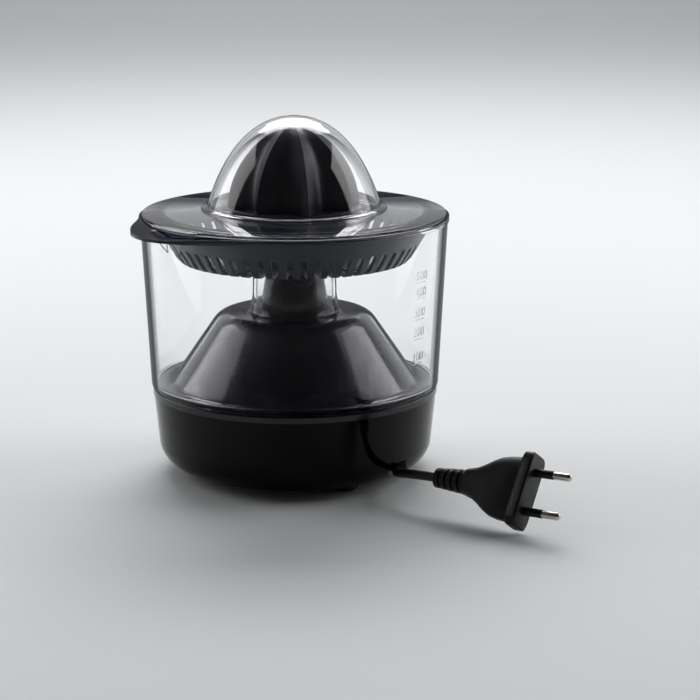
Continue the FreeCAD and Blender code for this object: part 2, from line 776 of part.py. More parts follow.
def star_section(share):
    """Outline across the ribs: sharp crests joined by hollow arcs."""
    z = reamer_z + reamer_base + (reamer_height - reamer_base) * share
    crest = rib_radius(share)
    depth = 0.70 + 0.12 * share
    step = 360 / reamer_ribs
    edges = []
    for rib in range(reamer_ribs):
        angle = rib * step - 108
        start = at(crest, angle, z)
        end = at(crest, angle + step, z)
        edges.append(Part.Arc(start, at(crest * depth, angle + step / 2, z), end).toShape())
    return Part.Wire(edges)


def reamer():
    shares = [0.0, 0.18, 0.36, 0.54, 0.70, 0.84, 0.93, 0.985]
    body = Part.makeLoft([star_section(share) for share in shares], True, False)
    body = body.fuse(cylinder(reamer_radius, reamer_z, reamer_z + reamer_base + 0.3))
    body = body.fuse(cylinder(skirt_radius, reamer_z - skirt_depth, reamer_z + 0.1))
    bore = skirt_radius - skirt_wall
    top = reamer_z + reamer_height * 0.5
    body = body.cut(revolve([
        (0, reamer_z - skirt_depth - 1), (bore, reamer_z - skirt_depth - 1), (bore, reamer_z),
        (bore - 4.5, reamer_z + 4), (hub_radius + 1.4, top), (0, top),
    ]))
    hub = cylinder(hub_radius, hub_z, hub_top_z + 3)
    hub = hub.cut(prism(dog_flats + 2 * socket_fit, 6, hub_z - 1, hub_top_z))
    body = body.cut(cylinder(hub_radius, top - 1, hub_top_z + 3))
    return body.fuse(hub).removeSplitter()


def reamer_bush():
    bore = skirt_radius - skirt_wall
    low = reamer_z - skirt_depth + 0.5
    return ring(bore - running_fit, jug_tube_radius + side_gap, low, low + 5)


# --- dust cover ----------------------------------------------------------------------------------
def dome_outline(inset):
    """Quarter outline of the dome as a smooth curve from its foot to its crown."""
    low = cover_z + cover_flange + flange_rise
    radius = dome_base_radius - inset
    height = dome_height - inset
    return [
        Vector(radius, 0, low),
        Vector(radius * 0.935, 0, low + height * 0.165),
        Vector(radius * 0.845, 0, low + height * 0.375),
        Vector(radius * 0.690, 0, low + height * 0.60),
        Vector(radius * 0.500, 0, low + height * 0.80),
        Vector(radius * 0.260, 0, low + height * 0.95),
        Vector(0, 0, low + height),
    ]


def dome_body(inset):
    """Solid dome; the curve leaves its foot steeply and is level at the crown."""
    points = dome_outline(inset)
    curve = Part.BSplineCurve()
    curve.interpolate(Points=points, InitialTangent=Vector(-2.5, 0, 16), FinalTangent=Vector(-20, 0, 0))
    foot = Vector(0, 0, points[0].z)
    outline = Part.Wire([curve.toShape(), Part.makeLine(points[-1], foot), Part.makeLine(foot, points[0])])
    return Part.Face(outline).revolve(ORIGIN, UP, 360)


def dust_cover():
    rise = cover_z + cover_flange + flange_rise
    base = dome_base_radius
    edge = jug_rim_radius - cover_inset
    flange = revolve([
        (edge, cover_z), (edge, cover_z + cover_flange), (base + 2, rise), (base + 2, rise + 1.0),
        (base - 0.3, rise + 1.0), (base - cover_wall - 0.3, rise - 0.5),
        (base - cover_wall - 0.3, rise - 1.5),
        (edge - 9, cover_z),
    ])
    locator = strainer_top_radius - strainer_wall - 2.6
    flange = flange.fuse(ring(locator, locator - 1.5, cover_z - 4, cover_z + cover_flange * 0.8))
    flange = flange.fuse(cover_tongue(edge))
    dome = dome_body(0).cut(dome_body(cover_wall))
    return flange.fuse(dome).removeSplitter()


def cover_tongue(edge):
    """Short stretch of the cover's edge that reaches out over the pouring lip."""
    corners = [(edge - 1, cover_z), (edge + tongue_reach, cover_z),
               (edge + tongue_reach, cover_z + cover_flange), (edge - 1, cover_z + cover_flange)]
    outline = Part.makePolygon([Vector(radius, 0, z) for radius, z in corners + corners[:1]])
    tongue = Part.Face(outline).revolve(ORIGIN, UP, tongue_arc)
    tongue.rotate(ORIGIN, UP, lip_angle - tongue_arc / 2)
    return tongue


# --- cord, winder and plug -----------------------------------------------------------------------
def cord_winder():
    tab_z = coil_bounds()[2] - 0.3
    hub = cylinder(winder_radius, shell_z, recess_z)
    for index in range(4):
        hub = hub.fuse(slab(coil_bounds()[1] - 1.5, winder_tab_width, shell_z, tab_z, 45 + 90 * index))
    hub = hub.cut(cylinder(winder_radius - 2, shell_z + 2, recess_z - 2))
    for side in (-1, 1):
        centre = Vector(winder_screw_offset * side, 0, 0)
        hub = hub.cut(cylinder(screw_head_radius + 0.5, shell_z - 1, recess_z - 2, centre))
        hub = hub.cut(cylinder(screw_radius + 0.3, shell_z, recess_z + 1, centre))
    hub = hub.cut(cylinder(3.6, shell_z - 1, recess_z + 1, at(coil_radius(0), gland_angle)))
    return hub.removeSplitter()


def winder_screws():
    return group([screw(Vector(winder_screw_offset * side, 0, recess_z - 2), 5.5) for side in (-1, 1)])


def cord_gland():
    """Rubber grommet in the roof of the recess; its lower face meets the wound cord."""
    centre = at(coil_radius(0), gland_angle)
    top_of_coil = coil_bounds()[3]
    gland = cylinder(3.5, top_of_coil, recess_z + shell_wall, centre)
    gland = gland.fuse(cylinder(4.8, recess_z + shell_wall, recess_z + shell_wall + 1.5, centre))
    gland = gland.cut(cylinder(cord_diameter / 2 + 0.1, top_of_coil + 1.0, recess_z + 9, centre))
    return gland


def cord_clamp():
    """Bar inside the shell that holds the cord beside its gland."""
    low = recess_z + shell_wall
    centre = at(coil_radius(0) + 10, gland_angle)
    bar = slab(6, 18, low, low + 5, gland_angle, coil_radius(0) + 7)
    bar = bar.cut(Part.makeCylinder(cord_diameter / 2, 12, Vector(centre.x, centre.y, low + 1.6),
                                    at(1, gland_angle)))
    return bar


def cord_coil():
    inner, outer, low, high = coil_bounds()
    return ring(outer, inner, low, high)


def bend_radii(points):
    """Arc radius at each inner point: 0.45 of the shorter run over the tangent of half the turn."""
    radii = []
    for before, here, after in zip(points, points[1:], points[2:]):
        run_in = here - before
        run_out = after - here
        half_turn = run_in.getAngle(run_out) / 2
        radii.append(0.45 * min(run_in.Length, run_out.Length) / math.tan(half_turn))
    return radii


def cord_path(points):
    """Straight runs joined by tangent arcs."""
    edges = []
    last = points[0]
    for before, here, after, radius in zip(points, points[1:], points[2:], bend_radii(points)):
        run_in = (here - before).normalize()
        run_out = (after - here).normalize()
        half_turn = run_in.getAngle(run_out) / 2
        setback = radius * math.tan(half_turn)
        start = here - run_in * setback
        end = here + run_out * setback
        inwards = (run_out - run_in).normalize()
        middle = here + inwards * (radius / math.cos(half_turn) - radius)
        edges.append(Part.LineSegment(last, start).toShape())
        edges.append(Part.Arc(start, middle, end).toShape())
        last = end
    edges.append(Part.LineSegment(last, points[-1]).toShape())
    return Part.Wire(edges)


def cord_tail():
    points = [Vector(*point) for point in cord_points]
    path = cord_path(points)
    section = Part.Wire([Part.makeCircle(cord_diameter / 2, points[0], points[1] - points[0])])
    tail = path.makePipeShell([section], True, False)
    expected = math.pi * cord_diameter ** 2 / 4 * path.Length
    print("cord tail length", round(path.Length, 1), "bend radii", [round(r, 1) for r in bend_radii(points)],
          "volume share", round(tail.Volume / expected, 4))
    return tail


def place_plug(shape):
    """Turn a piece made along +X, face at the origin, to where the plug lies on the table."""
    heading = math.radians(plug_heading)
    pitch = math.radians(plug_pitch)
    roll = math.radians(plug_roll)
    axis = Vector(math.cos(heading) * math.cos(pitch), math.sin(heading) * math.cos(pitch), math.sin(pitch))
    sideways = Vector(-math.sin(heading), math.cos(heading), 0)
    upwards = axis.cross(sideways)
    long_side = upwards * math.cos(roll) + sideways * math.sin(roll)
    turn = FreeCAD.Rotation(axis, long_side, axis.cross(long_side), "XYZ")
    shape.Placement = FreeCAD.Placement(plug_face_centre, turn)
    return shape


def plug_section(x, width, thickness):
    """Rounded oblong across the plug, at a distance behind its face."""
    half_width = width / 2
    half_thick = thickness / 2
    round_end = half_thick * 0.96
    corner = half_width - round_end
    right = Part.Arc(Vector(x, corner, -half_thick), Vector(x, half_width, 0),
                     Vector(x, corner, half_thick))
    left = Part.Arc(Vector(x, -corner, half_thick), Vector(x, -half_width, 0),
                    Vector(x, -corner, -half_thick))
    return Part.Wire([
        right.toShape(), Part.makeLine(Vector(x, corner, half_thick), Vector(x, -corner, half_thick)),
        left.toShape(), Part.makeLine(Vector(x, -corner, -half_thick), Vector(x, corner, -half_thick)),
    ])


def plug_body():
    flange = Part.makeBox(plug_flange, plug_width, plug_thickness,
                          Vector(-plug_flange, -plug_width / 2, -plug_thickness / 2))
    flange = flange.makeFillet(2.0, [edge for edge in flange.Edges if abs(edge.tangentAt(0).x) > 0.9])
    back = boot_length - plug_length
    sections = [(-plug_flange, plug_width - 4.6, 12.2), (-15.0, 27.0, 11.8), (-23.0, 19.5, 10.8),
                (back, 2 * (boot_radius + boot_swell) + 0.6, 2 * (boot_radius + boot_swell))]
    body = Part.makeLoft([plug_section(x, width, thick) for x, width, thick in sections], True, False)
    body = flange.fuse(body)
    for side in (-1, 1):
        start = Vector(-13, side * pin_spacing / 2, 0)
        body = body.cut(Part.makeCylinder(pin_radius, 14, start, Vector(1, 0, 0)))
    return place_plug(body)


def plug_boot():
    back = boot_length - plug_length
    core = Part.makeCone(boot_radius, boot_radius + boot_swell, boot_length, Vector(-plug_length, 0, 0),
                         Vector(1, 0, 0))
    for index in range(5):
        ring_x = -plug_length + 0.6 + 3.1 * index
        groove = Part.makeCylinder(9, 0.9, Vector(ring_x + 1.6, 0, 0), Vector(1, 0, 0))
        groove = groove.cut(Part.makeCylinder(boot_radius - 0.5, 0.9, Vector(ring_x + 1.6, 0, 0),
                                              Vector(1, 0, 0)))
        core = core.cut(groove)
    core = core.common(Part.makeBox(back + plug_length, 30, 30, Vector(-plug_length, -15, -15)))
    return place_plug(core)


def plug_pins():
    pins = []
    for side in (-1, 1):
        pin = Part.makeCylinder(pin_radius * 0.9, pin_length + 12, Vector(-12, side * pin_spacing / 2, 0),
                                Vector(1, 0, 0))
        tip = [edge for edge in pin.Edges if abs(edge.CenterOfMass.x - pin_length) < 0.01]
        pins.append(pin.makeFillet(pin_radius * 0.8, tip))
    return place_plug(group(pins))


def plug_sleeves():
    sleeves = []
    for side in (-1, 1):
        start = Vector(-12, side * pin_spacing / 2, 0)
        sleeve = Part.makeCylinder(pin_radius, sleeve_length + 12, start, Vector(1, 0, 0))
        bore = Part.makeCylinder(pin_radius * 0.9, sleeve_length + 14, start - Vector(1, 0, 0),
                                 Vector(1, 0, 0))
        sleeves.append(sleeve.cut(bore))
    return place_plug(group(sleeves))


nodes = {
    "dust_cover": dust_cover, "reamer": reamer, "reamer_bush": reamer_bush, "strainer": strainer,
    "juice_jug": juice_jug, "motor_housing": motor_housing, "base_shell": base_shell,
    "housing_screws": housing_screws, "upper_bush": upper_bush, "lower_bush": lower_bush,
    "drive_spindle": drive_spindle, "spindle_dog": spindle_dog, "spindle_clip": spindle_clip,
    "thrust_pad": thrust_pad, "return_spring": return_spring, "switch_body": switch_body,
    "switch_plunger": switch_plunger, "output_gear": output_gear,
    "second_gear": lambda: compound_gear(1), "second_gear_pin": lambda: gear_pin(1),
    "first_gear": lambda: compound_gear(0), "first_gear_pin": lambda: gear_pin(0),
    "motor_pinion": motor_pinion, "motor_rotor": motor_rotor, "rotor_shaft": rotor_shaft,
    "motor_core": motor_core, "motor_coils": motor_coils, "motor_screws": motor_screws,
    "gearbox_tray": gearbox_tray, "tray_screws": tray_screws, "gearbox_cover": gearbox_cover,
    "cover_screws": cover_screws, "cord_winder": cord_winder, "winder_screws": winder_screws,
    "cord_gland": cord_gland, "cord_clamp": cord_clamp, "cord_coil": cord_coil, "cord_tail": cord_tail,
    "plug_body": plug_body, "plug_boot": plug_boot, "plug_pins": plug_pins, "plug_sleeves": plug_sleeves,
}
for foot_name in foot_angles:
    nodes[foot_name] = lambda name=foot_name: rubber_foot(name)

os.makedirs("parts", exist_ok=True)
for node, make in nodes.items():
    shape = make()
    print(node, "solids", len(shape.Solids), "valid", shape.isValid(), "volume", round(shape.Volume))
    shape.exportStep("parts/" + node + ".step")
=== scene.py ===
"""Looks of the citrus press juicer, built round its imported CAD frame. Sizes are in millimetres."""
import bpy
import bmesh
import math
from mathutils import Matrix, Vector
from mathutils.geometry import interpolate_bezier


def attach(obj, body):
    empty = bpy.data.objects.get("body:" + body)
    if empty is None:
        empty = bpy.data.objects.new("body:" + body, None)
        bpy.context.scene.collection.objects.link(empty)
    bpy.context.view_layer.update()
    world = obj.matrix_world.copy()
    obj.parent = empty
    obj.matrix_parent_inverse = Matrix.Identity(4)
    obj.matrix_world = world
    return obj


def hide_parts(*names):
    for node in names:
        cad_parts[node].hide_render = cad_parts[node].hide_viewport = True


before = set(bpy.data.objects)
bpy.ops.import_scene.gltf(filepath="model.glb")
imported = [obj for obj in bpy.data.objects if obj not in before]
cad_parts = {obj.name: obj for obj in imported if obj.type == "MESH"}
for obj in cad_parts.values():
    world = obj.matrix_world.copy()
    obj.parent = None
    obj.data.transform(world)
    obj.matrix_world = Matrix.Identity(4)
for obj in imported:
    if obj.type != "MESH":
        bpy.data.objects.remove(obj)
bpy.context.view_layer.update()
MM = 0.001

# --- Camera ------------------------------------------------------------------------------------
# A long product lens stands in front and to the left, 13 degrees above the jug's rim, and is
# turned a little to the right of the juicer to leave room for the plug.
camera_side = 240.0
camera_distance = 1110.0
camera_height = 315.5
camera_pitch = 13.0
camera_turn = 1.4

camera = bpy.data.objects.new("camera", bpy.data.cameras.new("camera"))
camera.data.lens = 118.8
camera.data.sensor_width = 36.0
camera.location = (
    camera_distance * MM * math.cos(math.radians(camera_side)),
    camera_distance * MM * math.sin(math.radians(camera_side)),
    camera_height * MM,
)
camera.rotation_euler = (
    math.radians(90 - camera_pitch), 0, math.radians(camera_side - 180 - camera_turn - 90),
)
bpy.context.scene.collection.objects.link(camera)
bpy.context.scene.camera = camera


# --- Floor -------------------------------------------------------------------------------------
# A plain matt sweep of pale paper: it lights the juicer from below and falls off to grey behind.
def hex_colour(code, alpha=1.0):
    """sRGB hex code to the linear colour that a shader takes."""
    channels = [int(code[start:start + 2], 16) / 255 for start in (1, 3, 5)]
    linear = [c / 12.92 if c <= 0.04045 else ((c + 0.055) / 1.055) ** 2.4 for c in channels]
    return (*linear, alpha)


def add_node(material, kind, inputs=None, **settings):
    """Add a node, set it, and give its sockets values or links from other nodes' outputs."""
    node = material.node_tree.nodes.new(kind)
    for name, value in settings.items():
        setattr(node, name, value)
    for name, value in (inputs or {}).items():
        if isinstance(value, bpy.types.NodeSocket):
            material.node_tree.links.new(value, node.inputs[name])
        else:
            node.inputs[name].default_value = value
    return node


def surface(name, colour, settings):
    """New material with a principled shader: its colour, and its other sockets by name."""
    material = bpy.data.materials.new(name)
    material.use_nodes = True
    shader = material.node_tree.nodes["Principled BSDF"]
    shader.inputs["Base Color"].default_value = hex_colour(colour)
    for socket, value in settings.items():
        shader.inputs[socket].default_value = value
    return material, shader


def link(material, output, target):
    material.node_tree.links.new(output, target)


def piece_from(name, bm, material, sharp=35.0):
    """Turn a bmesh in metres into a linked object, smooth but for edges sharper than an angle."""
    mesh = bpy.data.meshes.new(name)
    bm.to_mesh(mesh)
    bm.free()
    mesh.materials.append(material)
    mesh.shade_smooth()
    mesh.set_sharp_from_angle(angle=math.radians(sharp))
    piece = bpy.data.objects.new(name, mesh)
    bpy.context.scene.collection.objects.link(piece)
    return piece


floor_size = 60.0
paper, paper_shader = surface("sweep_paper", "#E9EBEC", {"Roughness": 0.9, "Specular IOR Level": 0.1})
bm = bmesh.new()
bmesh.ops.create_grid(bm, x_segments=1, y_segments=1, size=floor_size / 2)
floor = piece_from("floor", bm, paper)

# --- Lights ------------------------------------------------------------------------------------
# Two tall softboxes stand left and right and a broad one hangs above and behind; the side of the
# room behind the camera is dim, so that gloss black stays black in its middle.
softboxes = [        # name, angle round the spindle, distance, height, width, tall, watts
    ("softbox_left", 130.0, 1.15, 0.55, 0.85, 1.1, 5.5),
    ("softbox_right", 342.0, 1.15, 0.55, 0.85, 1.1, 6.5),
    ("softbox_top", 60.0, 1.15, 1.35, 1.6, 0.8, 17.0),
    ("softbox_far", 60.0, 3.20, 2.40, 2.2, 1.4, 38.0),
]
for name, angle, distance, height, width, tall, watts in softboxes:
    light = bpy.data.objects.new(name, bpy.data.lights.new(name, "AREA"))
    light.data.shape = "RECTANGLE"
    light.data.size = width
    light.data.size_y = tall
    light.data.energy = watts
    light.location = (distance * math.cos(math.radians(angle)), distance * math.sin(math.radians(angle)), height)
    towards = Vector((0, 0, 0.09)) - light.location
    light.rotation_euler = towards.to_track_quat("-Z", "Y").to_euler()
    bpy.context.scene.collection.objects.link(light)

world = bpy.data.worlds.new("studio")
world.use_nodes = True
bpy.context.scene.world = world
room = world.node_tree.nodes
wall = room.new("ShaderNodeTexCoord")
along = room.new("ShaderNodeVectorMath")
along.operation = "DOT_PRODUCT"
along.inputs[1].default_value = (
    -math.cos(math.radians(camera_side)), -math.sin(math.radians(camera_side)), 0)
shade = room.new("ShaderNodeMapRange")
shade.interpolation_type = "SMOOTHSTEP"
shade.inputs["From Min"].default_value = 0.25
shade.inputs["From Max"].default_value = 0.95
shade.inputs["To Min"].default_value = 0.02
shade.inputs["To Max"].default_value = 0.6
world.node_tree.links.new(wall.outputs["Generated"], along.inputs[0])
world.node_tree.links.new(along.outputs["Value"], shade.inputs["Value"])
world.node_tree.links.new(shade.outputs["Result"], room["Background"].inputs["Strength"])
room["Background"].inputs["Color"].default_value = hex_colour("#F4F6FA")
bpy.context.scene.view_settings.view_transform = "Standard"


# --- Mains cord --------------------------------------------------------------------------------
# Two-core lead with a black PVC sheath. It comes through a rubber gland in the base's underside, is
# wound six turns round the winder, leaves by a channel in the shell's edge and lies on the table.
cord_diameter = 4.4
coil_start = 200.0           # the gland's direction; the turns go clockwise from above
coil_end = -5.0
turn_points = 24
coil_cells = [(21.6, 12.1), (21.6, 7.7), (26.0, 7.7), (26.0, 12.1), (30.4, 12.1), (30.4, 7.7)]
cord_route = [               # chosen: coil, channel, edge of the shell, bend into the plug
    (30.3, -2.6, 7.7),
    (28.9, -27.6, 7.6),
    (27.3, -53.2, 6.9),
    (13.2, -71.5, 11.8),
    (10.7, -87.4, 16.0),
    (16.8, -102.5, 16.7),
]


def coil_place(turns):
    """Radius and height after a number of turns: each turn moves to the next cell, outermost first."""
    last_arc = (coil_start - coil_end) / 360
    radius, height = coil_cells[0]
    for index, (next_radius, next_height) in enumerate(coil_cells[1:]):
        crossing = index + last_arc + (4 - index) * 0.067
        share = min(max((turns - crossing) / 0.16, 0), 1)
        share = share * share * (3 - 2 * share)
        before = coil_cells[index]
        radius += (next_radius - before[0]) * share
        height += (next_height - before[1]) * share
    return radius, height


def coil_route():
    total = (coil_start - coil_end) / 360 + len(coil_cells) - 1
    count = int(total * turn_points)
    points = [(21.6 * math.cos(math.radians(coil_start)), 21.6 * math.sin(math.radians(coil_start)), 13.1)]
    for index in range(1, count):
        turns = total * index / count
        radius, height = coil_place(turns)
        angle = math.radians(coil_start - 360 * turns)
        points.append((radius * math.cos(angle), radius * math.sin(angle), height))
    return points


def smooth_cord(name, points, material):
    """One open NURBS spline whose control points are the route."""
    curve = bpy.data.curves.new(name, "CURVE")
    curve.dimensions = "3D"
    curve.bevel_depth = cord_diameter / 2 * MM
    curve.bevel_resolution = 5
    curve.use_fill_caps = True
    spline = curve.splines.new("NURBS")
    spline.points.add(len(points) - 1)
    for point, place in zip(spline.points, points):
        point.co = (*(value * MM for value in place), 1)
    spline.order_u = 3
    spline.use_endpoint_u = True
    spline.resolution_u = 5
    spline.use_smooth = True
    curve.materials.append(material)
    piece = bpy.data.objects.new(name, curve)
    bpy.context.scene.collection.objects.link(piece)
    return piece


def pvc_sheath():
    """Extruded PVC: satin black with a faint waxy grain, drawn at 0.8 mm."""
    material, shader = surface("satin_black_pvc_sheath", "#0B0B0D", {"IOR": 1.53})
    place = add_node(material, "ShaderNodeTexCoord")
    grain = add_node(material, "ShaderNodeTexNoise",
                     {"Vector": place.outputs["Object"], "Scale": 1 / (0.8 * MM), "Detail": 3.0})
    patch = add_node(material, "ShaderNodeMapRange",
                     {"Value": grain.outputs["Fac"], "To Min": 0.36, "To Max": 0.52})
    bump = add_node(material, "ShaderNodeBump",
                    {"Height": grain.outputs["Fac"], "Strength": 0.25, "Distance": 0.05 * MM})
    link(material, patch.outputs["Result"], shader.inputs["Roughness"])
    link(material, bump.outputs["Normal"], shader.inputs["Normal"])
    return material


sheath = pvc_sheath()
cord = smooth_cord("mains_cord", coil_route() + cord_route, sheath)
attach(cord, "base")
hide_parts("cord_coil", "cord_tail")

# --- Mains plug --------------------------------------------------------------------------------
# Flat two-pin plug moulded in black PVC straight onto the lead: a thick face plate, a waisted grip and
# a ringed boot that takes the bending.
plug_face = Vector((35.7, -149.3, 18.7))
plug_heading = -68.0
plug_pitch = 2.3
plug_lean = 34.0
plug_length = 50.5
boot_length = 17.0


def plug_place():
    """Matrix from the plug's own frame, face at the origin and pins along +X, to the table."""
    heading, pitch, lean = (math.radians(a) for a in (plug_heading, plug_pitch, plug_lean))
    axis = Vector((math.cos(heading) * math.cos(pitch), math.sin(heading) * math.cos(pitch), math.sin(pitch)))
    sideways = Vector((-math.sin(heading), math.cos(heading), 0))
    long_side = axis.cross(sideways) * math.cos(lean) + sideways * math.sin(lean)
    turn = Matrix((axis, long_side, axis.cross(long_side))).transposed().to_4x4()
    return Matrix.Translation(plug_face * MM) @ turn @ Matrix.Scale(MM, 4)


def oblong(bm, x, width, thickness, power=2.6, count=48):
    """Ring of edges across the plug: a rounded oblong at a distance behind the face."""
    ring = bmesh.ops.create_circle(bm, segments=count, radius=1.0)["verts"]
    for vert in ring:
        angle = math.atan2(vert.co.y, vert.co.x)
        c, s = math.cos(angle), math.sin(angle)
        vert.co = (x, math.copysign(abs(c) ** (2 / power), c) * width / 2,
                   math.copysign(abs(s) ** (2 / power), s) * thickness / 2)
    return list({edge for vert in ring for edge in vert.link_edges})


def skin(bm, rings):
    """Bridge rings of edges in order and close both ends."""
    for first, second in zip(rings, rings[1:]):
        bmesh.ops.bridge_loops(bm, edges=first + second)
    for ring in (rings[0], rings[-1]):
        bmesh.ops.contextual_create(bm, geom=ring)
    bmesh.ops.recalc_face_normals(bm, faces=bm.faces)


def moulded_pvc():
    """Injection-moulded PVC: soft satin with fine spark texture, drawn at 0.35 mm."""
    material, shader = surface("moulded_black_pvc", "#07070A", {"IOR": 1.53, "Specular IOR Level": 0.3})
    place = add_node(material, "ShaderNodeTexCoord")
    spark = add_node(material, "ShaderNodeTexNoise",
                     {"Vector": place.outputs["Object"], "Scale": 1 / (0.35 * MM), "Detail": 2.0})
    worn = add_node(material, "ShaderNodeTexNoise",
                    {"Vector": place.outputs["Object"], "Scale": 1 / (9.0 * MM), "Detail": 2.0})
    rough = add_node(material, "ShaderNodeMapRange",
                     {"Value": worn.outputs["Fac"], "To Min": 0.34, "To Max": 0.56})
    bump = add_node(material, "ShaderNodeBump",
                    {"Height": spark.outputs["Fac"], "Strength": 0.3, "Distance": 0.04 * MM})
    link(material, rough.outputs["Result"], shader.inputs["Roughness"])
    link(material, bump.outputs["Normal"], shader.inputs["Normal"])
    return material


plug_plastic = moulded_pvc()
grip_rings = [       # distance behind the face, width, thickness
    (0.0, 33.6, 12.0), (-0.8, 35.3, 13.7), (-4.7, 35.3, 13.7), (-5.5, 33.9, 12.4), (-5.6, 31.4, 11.6),
    (-9.0, 31.0, 12.4), (-13.0, 30.2, 12.4), (-17.5, 28.2, 12.4), (-21.0, 24.6, 12.2), (-24.5, 19.8, 11.9),
    (-28.5, 15.2, 11.6), (-33.5, 12.4, 11.4),
]
bm = bmesh.new()
skin(bm, [oblong(bm, x, width, thick, 7.0 if x > -5.6 else 2.6) for x, width, thick in grip_rings])
bmesh.ops.transform(bm, matrix=plug_place(), verts=bm.verts)
grip = piece_from("plug_grip", bm, plug_plastic, 40)
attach(grip, "base")
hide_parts("plug_body")

boot_rings = 4
boot_back_radius = 4.5
boot_front_radius = 5.7
bm = bmesh.new()
rings = []
pitch = boot_length / (boot_rings + 0.5)
for index in range(boot_rings + 1):
    start = -plug_length + index * pitch
    length = pitch * (0.66 if index < boot_rings else 0.5)
    radius = boot_back_radius + (boot_front_radius - boot_back_radius) * index / boot_rings
    waist = radius - 0.9
    for x, r in ((0, waist), (0, radius - 0.2), (0.2, radius), (length - 0.2, radius),
                 (length, radius - 0.2), (length, waist)):
        rings.append(oblong(bm, start + x, 2 * r + 0.4, 2 * r, 2.0))
skin(bm, rings)
bmesh.ops.recalc_face_normals(bm, faces=bm.faces)
bmesh.ops.transform(bm, matrix=plug_place(), verts=bm.verts)
boot = piece_from("plug_boot_rings", bm, plug_plastic, 40)
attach(boot, "base")
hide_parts("plug_boot")

# Each pin is nickel-plated brass, round, with a domed tip; a nylon sleeve covers its first half.
pin_spacing = 18.6
pin_radius = 1.8
pin_length = 19.0
sleeve_radius = 2.0
sleeve_length = 10.0


def plated_nickel():
    """Bright nickel plate, with fine lines round the pin from plugging in, drawn at 0.4 mm."""
    material, shader = surface("bright_nickel_plate", "#C8C4BA", {"Metallic": 1.0})
    place = add_node(material, "ShaderNodeTexCoord")
    lines = add_node(material, "ShaderNodeTexNoise",
                     {"Vector": place.outputs["Object"], "Scale": 1 / (0.4 * MM), "Detail": 4.0})
    rough = add_node(material, "ShaderNodeMapRange",
                     {"Value": lines.outputs["Fac"], "To Min": 0.14, "To Max": 0.34})
    link(material, rough.outputs["Result"], shader.inputs["Roughness"])
    return material


def rod(bm, sections, side):
    """Round bar along +X from (distance, radius) sections."""
    rings = []
    for x, radius in sections:
        ring = oblong(bm, x, 2 * radius, 2 * radius, 2.0, 24)
        bmesh.ops.translate(bm, verts=list({v for e in ring for v in e.verts}), vec=(0, side, 0))
        rings.append(ring)
    skin(bm, rings)


nickel = plated_nickel()
pins = bmesh.new()
sleeves = bmesh.new()
for side in (-pin_spacing / 2, pin_spacing / 2):
    tip = [(pin_length - pin_radius * (1 - math.sin(a)), pin_radius * math.cos(a) * 0.999 + 0.05)
           for a in (math.radians(18 * step) for step in range(6))]
    rod(pins, [(sleeve_length - 2, pin_radius)] + tip, side)
    rod(sleeves, [(-1.0, sleeve_radius), (sleeve_length - 0.2, sleeve_radius),
                  (sleeve_length, sleeve_radius - 0.15)], side)
for bm in (pins, sleeves):
    bmesh.ops.transform(bm, matrix=plug_place(), verts=bm.verts)
pin_pair = piece_from("plug_pin_pair", pins, nickel, 40)
sleeve_pair = piece_from("plug_pin_sleeves", sleeves, plug_plastic, 40)
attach(pin_pair, "base")
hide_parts("plug_pins")
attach(sleeve_pair, "base")
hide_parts("plug_sleeves")

# --- Rubber feet -------------------------------------------------------------------------------
# Three soft round feet pressed into the underside of the shell over the heads of the long screws.
foot_radius = 6.9
foot_top = 5.5
foot_circle = 46.0


def turned(corners, steps=180):
    """Closed body of revolution in metres from (radius, height, rounding) corners in millimetres."""
    bm = bmesh.new()
    verts = [bm.verts.new((radius * MM, 0, height * MM)) for radius, height, _ in corners]
    bm.faces.new(verts)
    for vert, (_, _, rounding) in zip(verts, corners):
        if rounding:
            bmesh.ops.bevel(bm, geom=[vert], offset=rounding * MM, offset_type="OFFSET", segments=5,
                            profile=0.5, affect="VERTICES", material=-1)
    bmesh.ops.delete(bm, geom=bm.faces[:], context="FACES_ONLY")
    bmesh.ops.spin(bm, geom=bm.verts[:] + bm.edges[:], cent=(0, 0, 0), axis=(0, 0, 1),
                   angle=2 * math.pi, steps=steps, use_merge=True)
    bmesh.ops.remove_doubles(bm, verts=bm.verts, dist=0.001 * MM)
    bmesh.ops.dissolve_degenerate(bm, edges=bm.edges, dist=0.0005 * MM)
    loose = [edge for edge in bm.edges if not edge.link_faces]
    bmesh.ops.delete(bm, geom=loose, context="EDGES")
    bmesh.ops.recalc_face_normals(bm, faces=bm.faces)
    return bm


def grained(name, colour, settings, grain, depth, rough_low, rough_high):
    """Moulded surface: a fine grain of a real size in the bump and the gloss."""
    material, shader = surface(name, colour, settings)
    place = add_node(material, "ShaderNodeTexCoord")
    fine = add_node(material, "ShaderNodeTexNoise",
                    {"Vector": place.outputs["Object"], "Scale": 1 / (grain * MM), "Detail": 3.0})
    wide = add_node(material, "ShaderNodeTexNoise",
                    {"Vector": place.outputs["Object"], "Scale": 1 / (24 * grain * MM), "Detail": 2.0})
    both = add_node(material, "ShaderNodeMath", operation="MULTIPLY")
    link(material, fine.outputs["Fac"], both.inputs[0])
    link(material, wide.outputs["Fac"], both.inputs[1])
    rough = add_node(material, "ShaderNodeMapRange",
                     {"Value": both.outputs["Value"], "From Min": 0.15, "From Max": 0.40,
                      "To Min": rough_low, "To Max": rough_high})
    bump = add_node(material, "ShaderNodeBump",
                    {"Height": fine.outputs["Fac"], "Strength": 0.3, "Distance": depth * MM})
    link(material, rough.outputs["Result"], shader.inputs["Roughness"])
    link(material, bump.outputs["Normal"], shader.inputs["Normal"])
    return material


